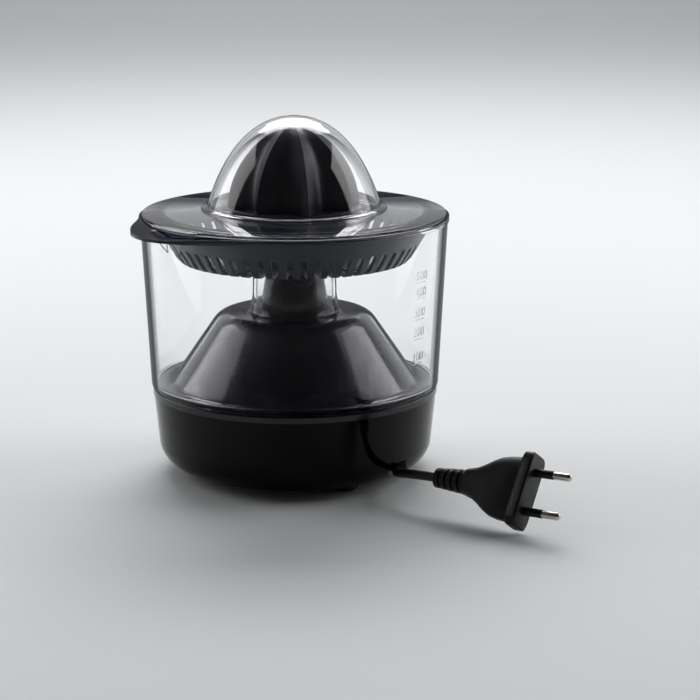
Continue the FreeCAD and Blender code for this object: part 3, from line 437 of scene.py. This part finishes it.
# Black nitrile rubber: dull, with a dusty skin that shows as uneven gloss; its grain is about 0.5 mm.
rubber = grained("black_nitrile_rubber", "#17171A", {"IOR": 1.52}, 0.5, 0.06, 0.62, 0.85)
for foot_node, foot_angle in (("foot_front", 270.0), ("foot_right", 30.0), ("foot_left", 150.0)):
    bm = turned([(0, 0, 0), (foot_radius, 0, 1.3), (foot_radius, foot_top, 0.2), (3.2, foot_top, 0),
                 (3.2, 3.5, 0), (0, 3.5, 0)], 48)
    turn = math.radians(foot_angle)
    bmesh.ops.translate(bm, verts=bm.verts,
                        vec=(foot_circle * MM * math.cos(turn), foot_circle * MM * math.sin(turn), 0))
    foot = piece_from(foot_node.replace("foot", "rubber_foot"), bm, rubber)
    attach(foot, "base")
    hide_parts(foot_node)

# --- Base shell and motor housing ---------------------------------------------------------------
# Two shells moulded in polished black ABS meet at a groove under the jug: the bowl on its feet, and the
# housing whose cone and tower stand up inside the jug. Long screws from below hold them together.


def merged_copy(name, node, material, sharp=28.0):
    """A CAD node's own shape as one joined mesh, so that it shades smoothly."""
    bm = bmesh.new()
    bm.from_mesh(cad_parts[node].data)
    bmesh.ops.remove_doubles(bm, verts=bm.verts, dist=0.0005 * MM)
    piece = piece_from(name, bm, material, sharp)
    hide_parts(node)
    return piece


# High-gloss ABS straight from a polished tool: deep black, mirror-like, with faint handling marks.
gloss_abs = grained("polished_black_abs", "#030304", {"IOR": 1.50, "Specular IOR Level": 0.14},
                    1.5, 0.004, 0.07, 0.15)
# The housing comes from the same resin with a finer satin polish, which spreads its reflections.
satin_abs = grained("satin_black_abs", "#08090B", {"IOR": 1.50, "Specular IOR Level": 0.4},
                    0.6, 0.012, 0.20, 0.30)
shell = merged_copy("base_bowl", "base_shell", gloss_abs)
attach(shell, "base")
housing = merged_copy("cone_housing", "motor_housing", satin_abs)
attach(housing, "base")
winder = merged_copy("winder_hub", "cord_winder", satin_abs)
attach(winder, "base")

# --- Drive inside the base ----------------------------------------------------------------------
# The motor, gears, spindle and switch keep the shapes that they are built to, and each gets the finish
# of its own real material.


def give(material, *nodes):
    """Set the only material of CAD nodes."""
    for node in nodes:
        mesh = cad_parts[node].data
        mesh.materials.clear()
        mesh.materials.append(material)


def brushed(name, colour, settings, grain, rough_low, rough_high):
    """Worked metal: turning or rolling lines of a real spacing that run round the part."""
    material, shader = surface(name, colour, {"Metallic": 1.0, **settings})
    place = add_node(material, "ShaderNodeTexCoord")
    squeeze = add_node(material, "ShaderNodeMapping", {"Vector": place.outputs["Object"],
                                                      "Scale": (0.12, 0.12, 1.0)})
    lines = add_node(material, "ShaderNodeTexNoise",
                     {"Vector": squeeze.outputs["Vector"], "Scale": 1 / (grain * MM), "Detail": 4.0})
    rough = add_node(material, "ShaderNodeMapRange",
                     {"Value": lines.outputs["Fac"], "To Min": rough_low, "To Max": rough_high})
    bump = add_node(material, "ShaderNodeBump",
                    {"Height": lines.outputs["Fac"], "Strength": 0.25, "Distance": 0.01 * MM})
    link(material, rough.outputs["Result"], shader.inputs["Roughness"])
    link(material, bump.outputs["Normal"], shader.inputs["Normal"])
    return material


# Acetal: waxy white, a little light goes into it. Glass-filled nylon: dull grey with a fibrous grain.
acetal = grained("white_acetal", "#E9E7E0", {"IOR": 1.48, "Subsurface Weight": 0.1,
                                             "Subsurface Radius": (0.002, 0.002, 0.002)}, 0.8, 0.01, 0.28, 0.42)
nylon = grained("grey_filled_nylon", "#5B5E62", {"IOR": 1.53}, 0.25, 0.03, 0.45, 0.65)
moulding = grained("black_moulded_abs", "#141416", {"IOR": 1.52}, 0.4, 0.02, 0.38, 0.55)
# Plated screws, a ground shaft, drawn spring wire, sintered bronze and turned brass.
zinc = brushed("bright_zinc_plate", "#B9BDC2", {}, 0.3, 0.22, 0.40)
ground = brushed("ground_steel", "#A9ABAE", {}, 0.1, 0.12, 0.24)
wire = brushed("drawn_spring_steel", "#8C8E92", {}, 0.15, 0.20, 0.34)
bronze = brushed("sintered_bronze", "#A9794A", {}, 0.2, 0.38, 0.58)
brass = brushed("turned_brass", "#CDA75C", {}, 0.2, 0.18, 0.32)
ferrite = grained("sintered_ferrite", "#2A2B2E", {"Metallic": 0.4}, 0.2, 0.02, 0.42, 0.60)
give(acetal, "output_gear", "spindle_dog", "thrust_pad", "second_gear")
give(nylon, "gearbox_tray", "gearbox_cover", "first_gear")
give(moulding, "switch_body", "switch_plunger", "cord_clamp")
give(rubber, "cord_gland")
give(zinc, "housing_screws", "motor_screws", "tray_screws", "cover_screws", "winder_screws", "spindle_clip")
give(ground, "drive_spindle", "rotor_shaft", "first_gear_pin", "second_gear_pin")
give(wire, "return_spring")
give(bronze, "upper_bush", "lower_bush")
give(brass, "motor_pinion")
give(ferrite, "motor_rotor")


def stacked_steel():
    """Punched silicon-steel sheets 0.5 mm thick, so fine dark lines run level round the stack."""
    material, shader = surface("stacked_silicon_steel", "#7F8388", {"Metallic": 0.9, "Roughness": 0.42})
    place = add_node(material, "ShaderNodeTexCoord")
    sheets = add_node(material, "ShaderNodeTexWave",
                      {"Vector": place.outputs["Object"], "Scale": 0.314 / (0.5 * MM), "Distortion": 0.4},
                      bands_direction="Z")
    bump = add_node(material, "ShaderNodeBump",
                    {"Height": sheets.outputs["Fac"], "Strength": 0.6, "Distance": 0.08 * MM})
    link(material, bump.outputs["Normal"], shader.inputs["Normal"])
    return material


def varnished_winding():
    """Enamelled copper wire 0.3 mm thick, wound in level rows under amber varnish."""
    material, shader = surface("varnished_copper_winding", "#8A4A22", {"Roughness": 0.3, "Coat Weight": 0.5})
    place = add_node(material, "ShaderNodeTexCoord")
    rows = add_node(material, "ShaderNodeTexWave",
                    {"Vector": place.outputs["Object"], "Scale": 0.314 / (0.6 * MM), "Distortion": 0.8},
                    bands_direction="Z")
    # Painted shade and highlight: the colour goes dark in the grooves between the turns and light on their crowns,
    # along the same waves as the bump.
    tone = add_node(material, "ShaderNodeMix", {"Factor": rows.outputs["Fac"]}, data_type="RGBA")
    tone.inputs[6].default_value = hex_colour("#5A2A12")
    tone.inputs[7].default_value = hex_colour("#A8622C")
    bump = add_node(material, "ShaderNodeBump",
                    {"Height": rows.outputs["Fac"], "Strength": 0.7, "Distance": 0.1 * MM})
    link(material, tone.outputs[2], shader.inputs["Base Color"])
    link(material, bump.outputs["Normal"], shader.inputs["Normal"])
    return material


give(stacked_steel(), "motor_core")
give(varnished_winding(), "motor_coils")

# --- Jug ----------------------------------------------------------------------------------------
# Moulded in one piece in clear SAN: tapered wall, a floor that climbs over the housing's cone, a tube
# round its tower, a beaded rim with a pouring lip and a small lug, and a scale in raised figures.
jug_z = 43.7
jug_foot_radius = 70.5
jug_wall = 1.9
jug_floor = 1.5
rim_z = 127.3
rim_radius = 75.4
rim_depth = 2.4
wall_top_radius = 74.9
cone_foot = 58.98            # clear cone's inner face at its foot and top
cone_top = 34.98
cone_skin = 1.84             # its wall, measured level
shoulder_z = 78.3
tube_radius = 20.6
tube_z = 123.0
lip_angle = 190.5
lip_half = 36.0
lip_reach = 16.0
lip_scoop = 1.2
lug_angle = 2.3
lug_half = 3.6
lug_reach = 2.4


def jug_radius(z):
    """Outside radius of the tapered wall at a height."""
    return jug_foot_radius + (wall_top_radius - jug_foot_radius) * (z - jug_z) / (rim_z - jug_z)


def turn_from(point, angle):
    """Degrees from a direction round the spindle to a point, between -180 and 180."""
    there = math.degrees(math.atan2(point.y, point.x))
    return (there - angle + 180) % 360 - 180


def push_out(bm, angle, half, reach_at, steps):
    """Extrude the rim's outer faces near a direction outwards, in steps, by a reach that varies."""
    faces = [face for face in bm.faces
             if face.calc_center_median().xy.length > (rim_radius - 0.1) * MM
             and abs(turn_from(face.calc_center_median(), angle)) < half
             and abs(face.normal.z) < 0.5]
    for step in range(steps):
        grown = bmesh.ops.extrude_face_region(bm, geom=faces)["geom"]
        faces = [item for item in grown if isinstance(item, bmesh.types.BMFace)]
        for vert in {vert for face in faces for vert in face.verts}:
            more = reach_at(turn_from(vert.co, angle)) / steps * MM
            vert.co.xy += vert.co.xy.normalized() * more


def clear_san(name, mirrored, painted_edge_from, depth):
    """Clear SAN: bright and hard, with a violet-grey cast from absorption in the wall. Where the wall is seen edge
    on, painted shade turns its colour dark navy and mixes in a dark diffuse shader.

    Shadow rays pass straight through, as thin clear walls throw almost no shadow."""
    material, shader = surface(name, "#FFFFFF", {"Transmission Weight": 1.0, "IOR": 1.57, "Roughness": 0.015})
    shader.inputs["Specular Tint"].default_value = (mirrored, mirrored, mirrored, 1)
    output = material.node_tree.nodes["Material Output"]
    cast = add_node(material, "ShaderNodeVolumeAbsorption", {"Color": hex_colour("#8C90C8"), "Density": 14.0})
    link(material, cast.outputs["Volume"], output.inputs["Volume"])
    place = add_node(material, "ShaderNodeTexCoord")
    flow = add_node(material, "ShaderNodeTexNoise",
                    {"Vector": place.outputs["Object"], "Scale": 1 / (30.0 * MM), "Detail": 1.0})
    bump = add_node(material, "ShaderNodeBump",
                    {"Height": flow.outputs["Fac"], "Strength": 0.15, "Distance": 0.3 * MM})
    link(material, bump.outputs["Normal"], shader.inputs["Normal"])
    # Painted shade at the edges: past a facing value the colour goes from white to dark navy, and a dark diffuse
    # shader is mixed in. Together they stand for the dark rims that refraction shows where the wall is seen edge
    # on.
    angle = add_node(material, "ShaderNodeLayerWeight", {"Blend": 0.5})
    edge = add_node(material, "ShaderNodeMapRange",
                    {"Value": angle.outputs["Facing"], "From Min": painted_edge_from, "From Max": painted_edge_from + 0.06})
    tone = add_node(material, "ShaderNodeMix", {0: edge.outputs["Result"]}, data_type="RGBA")
    tone.inputs[6].default_value = hex_colour("#FFFFFF")
    tone.inputs[7].default_value = hex_colour("#04051C")
    link(material, tone.outputs[2], shader.inputs["Base Color"])
    path = add_node(material, "ShaderNodeLightPath")
    passing = add_node(material, "ShaderNodeBsdfTransparent", {"Color": hex_colour("#E4E6EE")})
    painted_dark_edge = add_node(material, "ShaderNodeBsdfDiffuse", {"Color": hex_colour("#0A0C1C")})
    painted_edge_share = add_node(material, "ShaderNodeMath", {0: edge.outputs["Result"], 1: depth}, operation="MULTIPLY")
    walls = add_node(material, "ShaderNodeMixShader",
                     {0: painted_edge_share.outputs["Value"], 1: shader.outputs["BSDF"], 2: painted_dark_edge.outputs["BSDF"]})
    either = add_node(material, "ShaderNodeMixShader",
                      {0: path.outputs["Is Shadow Ray"], 1: walls.outputs["Shader"], 2: passing.outputs["BSDF"]})
    link(material, either.outputs["Shader"], output.inputs["Surface"])
    return material


san = clear_san("clear_moulded_san", 0.08, 0.72, 0.7)
bm = turned([
    (jug_foot_radius, jug_z, 0.9), (jug_radius(rim_z - rim_depth), rim_z - rim_depth, 0.4),
    (rim_radius, rim_z - rim_depth, 0), (rim_radius, rim_z, 0), (wall_top_radius - 0.9, rim_z, 0.25),
    (wall_top_radius - 0.9, rim_z - 1.3, 0.15), (wall_top_radius - jug_wall, rim_z - 1.3, 0.3),
    (jug_foot_radius - jug_wall, jug_z + jug_floor, 2.2), (cone_foot + cone_skin, jug_z + jug_floor, 2.0),
    (cone_top + cone_skin, shoulder_z + jug_floor, 5.0), (tube_radius + 2.5, shoulder_z + jug_floor, 1.6),
    (tube_radius, shoulder_z + jug_floor + 6, 3.0), (tube_radius - 0.6, tube_z, 0.7),
    (tube_radius - jug_floor - 0.6, tube_z, 0.6), (tube_radius - jug_floor, shoulder_z, 1.2),
    (cone_top, shoulder_z, 5.0), (cone_foot, jug_z, 0.8),
])
push_out(bm, lip_angle, lip_half, lambda away: lip_reach * math.cos(math.radians(away / lip_half * 90)) ** 2, 6)
push_out(bm, lug_angle, lug_half, lambda away: lug_reach, 2)
for vert in bm.verts:
    away = turn_from(vert.co, lip_angle)
    if vert.co.xy.length > (wall_top_radius - 1.0) * MM and vert.co.z > (rim_z - 0.6) * MM and abs(away) < lip_half:
        side = rim_radius * math.radians(away)
        vert.co.z -= lip_scoop * MM * math.exp(-(side / 17) ** 2)
bmesh.ops.remove_doubles(bm, verts=bm.verts, dist=0.02 * MM)
outer = [edge for edge in bm.edges
         if len(edge.link_faces) == 2 and edge.calc_face_angle() > math.radians(50)
         and min(vert.co.xy.length for vert in edge.verts) > (rim_radius - 0.05) * MM
         and min(vert.co.z for vert in edge.verts) > (rim_z - rim_depth - 0.1) * MM]
bmesh.ops.bevel(bm, geom=outer, offset=0.7 * MM, offset_type="OFFSET", segments=4, profile=0.5,
                affect="EDGES", clamp_overlap=True, material=-1)
for side in (-3.8, 3.8):
    foot = rim_z - 10.7
    top = rim_z - rim_depth + 0.1
    corners = [(jug_radius(foot) - 0.3, foot), (rim_radius + 6, top), (jug_radius(top) - 0.3, top)]
    web = bm.faces.new([bm.verts.new((radius * MM, -0.8 * MM, z * MM)) for radius, z in corners])
    grown = bmesh.ops.extrude_face_region(bm, geom=[web], use_keep_orig=True)["geom"]
    tips = [item for item in grown if isinstance(item, bmesh.types.BMVert)]
    bmesh.ops.translate(bm, verts=tips, vec=(0, 1.6 * MM, 0))
    bmesh.ops.rotate(bm, verts=tips + web.verts[:], cent=(0, 0, 0),
                     matrix=Matrix.Rotation(math.radians(lip_angle + side), 3, "Z"))
bmesh.ops.recalc_face_normals(bm, faces=bm.faces)
jug = piece_from("clear_jug", bm, san, 40)
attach(jug, "jug")
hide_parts("juice_jug")

# Raised figures and lines stand 0.25 mm proud of the wall, frosted so that they can be read.
scale_angle = 294.5
scale_marks = [(62.0, "100"), (74.1, "200"), (83.6, "300"), (93.6, "400"), (101.6, "500")]
figure_height = 4.6
figure_depth = 0.25
frosted = grained("frosted_san_figures", "#FFFFFF", {"Transmission Weight": 1.0, "IOR": 1.15},
                  0.2, 0.03, 0.25, 0.4)
bm = bmesh.new()
for height, figures in scale_marks:
    text = bpy.data.curves.new("figures", "FONT")
    text.body = figures
    text.size = figure_height * 1.35
    text.align_x = "CENTER"
    text.extrude = figure_depth / 2
    label = bpy.data.objects.new("figures", text)
    flat = bpy.data.meshes.new_from_object(label)
    bpy.data.objects.remove(label)
    flat.transform(Matrix.Translation((0, 1.3, figure_depth / 2)))
    marks = bmesh.new()
    marks.from_mesh(flat)
    bmesh.ops.create_cube(marks, size=1.0,
                          matrix=Matrix.Translation((0, 0, figure_depth / 2)) @ Matrix.Diagonal((7.0, 0.6, figure_depth, 1)))
    bmesh.ops.subdivide_edges(marks, edges=[e for e in marks.edges if e.calc_length() > 5], cuts=6)
    for vert in marks.verts:
        level = height + vert.co.y
        radius = jug_radius(level) - 0.02 + vert.co.z
        angle = math.radians(scale_angle) + vert.co.x / radius
        vert.co = (radius * MM * math.cos(angle), radius * MM * math.sin(angle), level * MM)
    bmesh.ops.remove_doubles(marks, verts=marks.verts, dist=0.0005 * MM)
    marks.to_mesh(flat)
    marks.free()
    bm.from_mesh(flat)
    bpy.data.meshes.remove(flat)
scale = piece_from("jug_scale", bm, frosted, 30)
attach(scale, "jug")

# --- Strainer -----------------------------------------------------------------------------------
# Dark grey-black moulding that hangs in the jug's rim: a conical basket with 56 slots that run from its
# floor up its side, and a raised collar in the middle under the reamer.
strainer_z = 105.5
strainer_wall = 1.8
slot_count = 56
slot_start = 43.0
slot_top = 116.1
collar_z = 126.5
flange_radius = 73.6


def floor_to_rim(height):
    """Radius of the basket's inner side at a height."""
    return 55.2 + (67.2 - 55.2) * (height - strainer_z - strainer_wall) / (rim_z - strainer_z - strainer_wall)


bm = bmesh.new()
line = [(26.0, collar_z), (33.4, collar_z), (35.4, collar_z - 1.2), (35.8, collar_z - 3), (36.5, 109.3),
        (37.2, 107.8), (38.8, 107.3), (slot_start, 107.3), (53.2, 107.3), (54.9, 107.7),
        (floor_to_rim(109.2), 109.2), (floor_to_rim(slot_top), slot_top), (floor_to_rim(124.5), 124.5),
        (floor_to_rim(126.7), 126.7), (67.9, rim_z), (flange_radius - 0.5, rim_z), (flange_radius, rim_z - 0.4)]
verts = [bm.verts.new((radius * MM, 0, height * MM)) for radius, height in line]
edges = [bm.edges.new(pair) for pair in zip(verts, verts[1:])]
bmesh.ops.spin(bm, geom=verts + edges, cent=(0, 0, 0), axis=(0, 0, 1), angle=2 * math.pi,
               steps=4 * slot_count, use_merge=True)
bmesh.ops.remove_doubles(bm, verts=bm.verts, dist=0.001 * MM)
open_faces = []
for face in bm.faces:
    middle = face.calc_center_median()
    sector = int(math.degrees(math.atan2(middle.y, middle.x)) % 360 / 360 * 4 * slot_count)
    in_reach = middle.xy.length > slot_start * MM and middle.z < slot_top * MM
    if in_reach and sector % 4 in (0, 3):
        open_faces.append(face)
bmesh.ops.delete(bm, geom=open_faces, context="FACES")
bmesh.ops.recalc_face_normals(bm, faces=bm.faces)
if max(bm.faces, key=lambda face: face.calc_center_median().z).normal.z < 0:
    bmesh.ops.reverse_faces(bm, faces=bm.faces)
bmesh.ops.solidify(bm, geom=bm.faces[:], thickness=strainer_wall * MM)
for vert in bm.verts:
    if vert.co.xy.length > 69.3 * MM and vert.co.z < (rim_z - 1.0) * MM:
        vert.co.z = (rim_z - 1.2) * MM
ends = []
for edge in bm.edges:
    if len(edge.link_faces) == 2 and abs(edge.calc_length() - strainer_wall * MM) < 0.5 * MM:
        middle = (edge.verts[0].co + edge.verts[1].co) / 2
        near_floor_end = abs(middle.xy.length - slot_start * MM) < 0.1 * MM
        near_wall_end = abs(middle.z - (slot_top - 0.5) * MM) < 1.0 * MM
        if edge.calc_face_angle() > math.radians(60) and (near_floor_end or near_wall_end):
            ends.append(edge)
bmesh.ops.bevel(bm, geom=ends, offset=1.1 * MM, offset_type="OFFSET", segments=4, profile=0.5,
                affect="EDGES", material=-1)
bmesh.ops.recalc_face_normals(bm, faces=bm.faces)
# Grey-black ABS with a lightly textured tool, which goes pale where it is seen at a low angle.
strainer_abs = grained("textured_grey_black_abs", "#3E4148", {"IOR": 1.60}, 0.5, 0.015, 0.36, 0.50)
basket = piece_from("slotted_basket", bm, strainer_abs, 40)
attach(basket, "strainer_basket")
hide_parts("strainer")
give(acetal, "reamer_bush")

# --- Reamer -------------------------------------------------------------------------------------
# The cone that the fruit is pressed on: eight sharp ribs with hollow flutes between, on a round base
# with a skirt below and a hexagonal socket inside that the spindle drives.
reamer_z = 129.2
reamer_radius = 33.0
reamer_height = 42.0
reamer_base = 2.0
rib_count = 8
rib_turn = -108.0
flute_points = 14
hub_z = 113.5
socket_top = 151.2


def grow(bm, ring, shape, height):
    """Extrude a ring of edges to a new height, with a radius for each direction."""
    grown = bmesh.ops.extrude_edge_only(bm, edges=ring)["geom"]
    verts = {item for item in grown if isinstance(item, bmesh.types.BMVert)}
    for vert in verts:
        angle = math.atan2(vert.co.y, vert.co.x)
        radius = shape(angle)
        vert.co = (radius * MM * math.cos(angle), radius * MM * math.sin(angle), height * MM)
    return [item for item in grown
            if isinstance(item, bmesh.types.BMEdge) and all(vert in verts for vert in item.verts)]


def ribbed(share):
    """Outline across the ribs at a share of the height: sharp crests, hollow flutes."""
    crest = (reamer_radius - 0.4) * (1 - share ** 1.9) ** 0.62 + 0.02
    hollow = 0.30 - 0.12 * share
    pitch = 2 * math.pi / rib_count

    def radius(angle):
        across = (angle - math.radians(rib_turn)) / pitch % 1.0
        return crest * (1 - hollow * math.sin(math.pi * across) ** 0.9)
    return radius


def hexagon(flats):
    def radius(angle):
        return flats / 2 / math.cos((angle + math.radians(0)) % (math.pi / 3) - math.pi / 6)
    return radius


bm = bmesh.new()
ring_points = rib_count * flute_points
first = bmesh.ops.create_circle(bm, segments=ring_points, radius=1.0)["verts"]
bmesh.ops.rotate(bm, verts=first, cent=(0, 0, 0), matrix=Matrix.Rotation(math.radians(rib_turn), 3, "Z"))
for vert in first:
    angle = math.atan2(vert.co.y, vert.co.x)
    vert.co = (0.15 * MM * math.cos(angle), 0.15 * MM * math.sin(angle), (reamer_z + reamer_height) * MM)
ring = list({edge for vert in first for edge in vert.link_edges})
tip = ring
shares = [1 - (1 - step / 26) ** 1.0 for step in range(27)]
for share in reversed(shares[:-1]):
    ring = grow(bm, ring, ribbed(min(share, 0.985)), reamer_z + reamer_base + (reamer_height - reamer_base) * share)
levels = [
    (reamer_radius - 0.5, reamer_z + reamer_base), (reamer_radius, reamer_z + reamer_base - 0.5),
    (reamer_radius, reamer_z + 0.3), (reamer_radius - 0.3, reamer_z), (25.4, reamer_z), (25.0, reamer_z - 0.4),
    (25.0, reamer_z - 9.7), (24.7, reamer_z - 10), (23.6, reamer_z - 10), (23.3, reamer_z - 9.7),
    (23.3, reamer_z), (18.8, reamer_z + 4), (10.2, reamer_z + 20.5), (9.4, reamer_z + 21),
    (8.5, reamer_z + 20.5), (8.5, hub_z + 0.4), (8.1, hub_z), (5.2, hub_z),
]
for radius, height in levels:
    ring = grow(bm, ring, lambda angle, fixed=radius: fixed, height)
ring = grow(bm, ring, hexagon(7.9), hub_z + 0.6)
ring = grow(bm, ring, hexagon(7.9), socket_top)
for loop in (tip, ring):
    bmesh.ops.contextual_create(bm, geom=loop)
bmesh.ops.remove_doubles(bm, verts=bm.verts, dist=0.001 * MM)
bmesh.ops.recalc_face_normals(bm, faces=bm.faces)
# Black ABS with a fine satin polish: each flute takes a soft even tone from its side of the room.
reamer_abs = grained("satin_charcoal_abs", "#0E0F12", {"IOR": 1.50}, 0.8, 0.008, 0.32, 0.44)
cone = piece_from("ribbed_cone", bm, reamer_abs, 24)
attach(cone, "reamer_cone")
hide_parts("reamer")

# --- Dust cover ---------------------------------------------------------------------------------
# Clear SAN lid: a dome over the reamer with a wide sloping flange, a bead where the two meet, a ring
# below that centres it in the strainer, and a short step over the pouring lip.
cover_z = 127.5
cover_edge = 74.0
flange_thick = 1.3
flange_rise = 1.5
cover_wall = 1.6
dome_foot = 43.0
dome_height = 44.9
tongue_half = 13.5
tongue_reach = 3.6


def dome_line(inset, count=22):
    """Side of the dome from its foot to its crown: steep at first, then a round crown."""
    foot_z = cover_z + flange_thick + flange_rise
    radius = dome_foot - inset
    height = dome_height - inset
    points = interpolate_bezier((radius, 0), (radius - 4.0, 12.0), (radius * 0.65, height), (0, height), count)
    return [(max(point.x, 0.0), foot_z + point.y, 0) for point in points]


rise_z = cover_z + flange_thick + flange_rise
corners = [(64.6, cover_z + 0.1, 0.3), (cover_edge, cover_z, 0.3), (cover_edge, cover_z + flange_thick, 0.55),
           (dome_foot + 2, rise_z, 0.4), (dome_foot + 2, rise_z + 1.0, 0.4)]
corners += [corner for corner in dome_line(0) if corner[1] > rise_z + 0.9]
corners += [corner for corner in reversed(dome_line(cover_wall)) if corner[1] > rise_z + 0.2]
corners += [(dome_foot - cover_wall - 0.3, rise_z - 0.5, 0.3), (dome_foot - cover_wall - 0.3, rise_z - 1.5, 0.3),
            (63.1, cover_z + 0.2, 0.3), (63.1, cover_z - 4.0, 0.3), (64.6, cover_z - 4.0, 0.3)]
cover_san = clear_san("clear_moulded_san_cover", 0.55, 0.84, 0.7)
bm = turned(corners)
tongue = [face for face in bm.faces
          if face.calc_center_median().xy.length > (cover_edge - 0.05) * MM
          and abs(turn_from(face.calc_center_median(), lip_angle)) < tongue_half and abs(face.normal.z) < 0.3]
grown = bmesh.ops.extrude_face_region(bm, geom=tongue)["geom"]
for vert in [item for item in grown if isinstance(item, bmesh.types.BMVert)]:
    away = abs(turn_from(vert.co, lip_angle))
    share = min(1.0, (tongue_half - away) / 2.5 + 0.25)
    vert.co.xy += vert.co.xy.normalized() * tongue_reach * share * MM
bmesh.ops.recalc_face_normals(bm, faces=bm.faces)
lid = piece_from("domed_lid", bm, cover_san, 40)
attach(lid, "cover")
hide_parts("dust_cover")
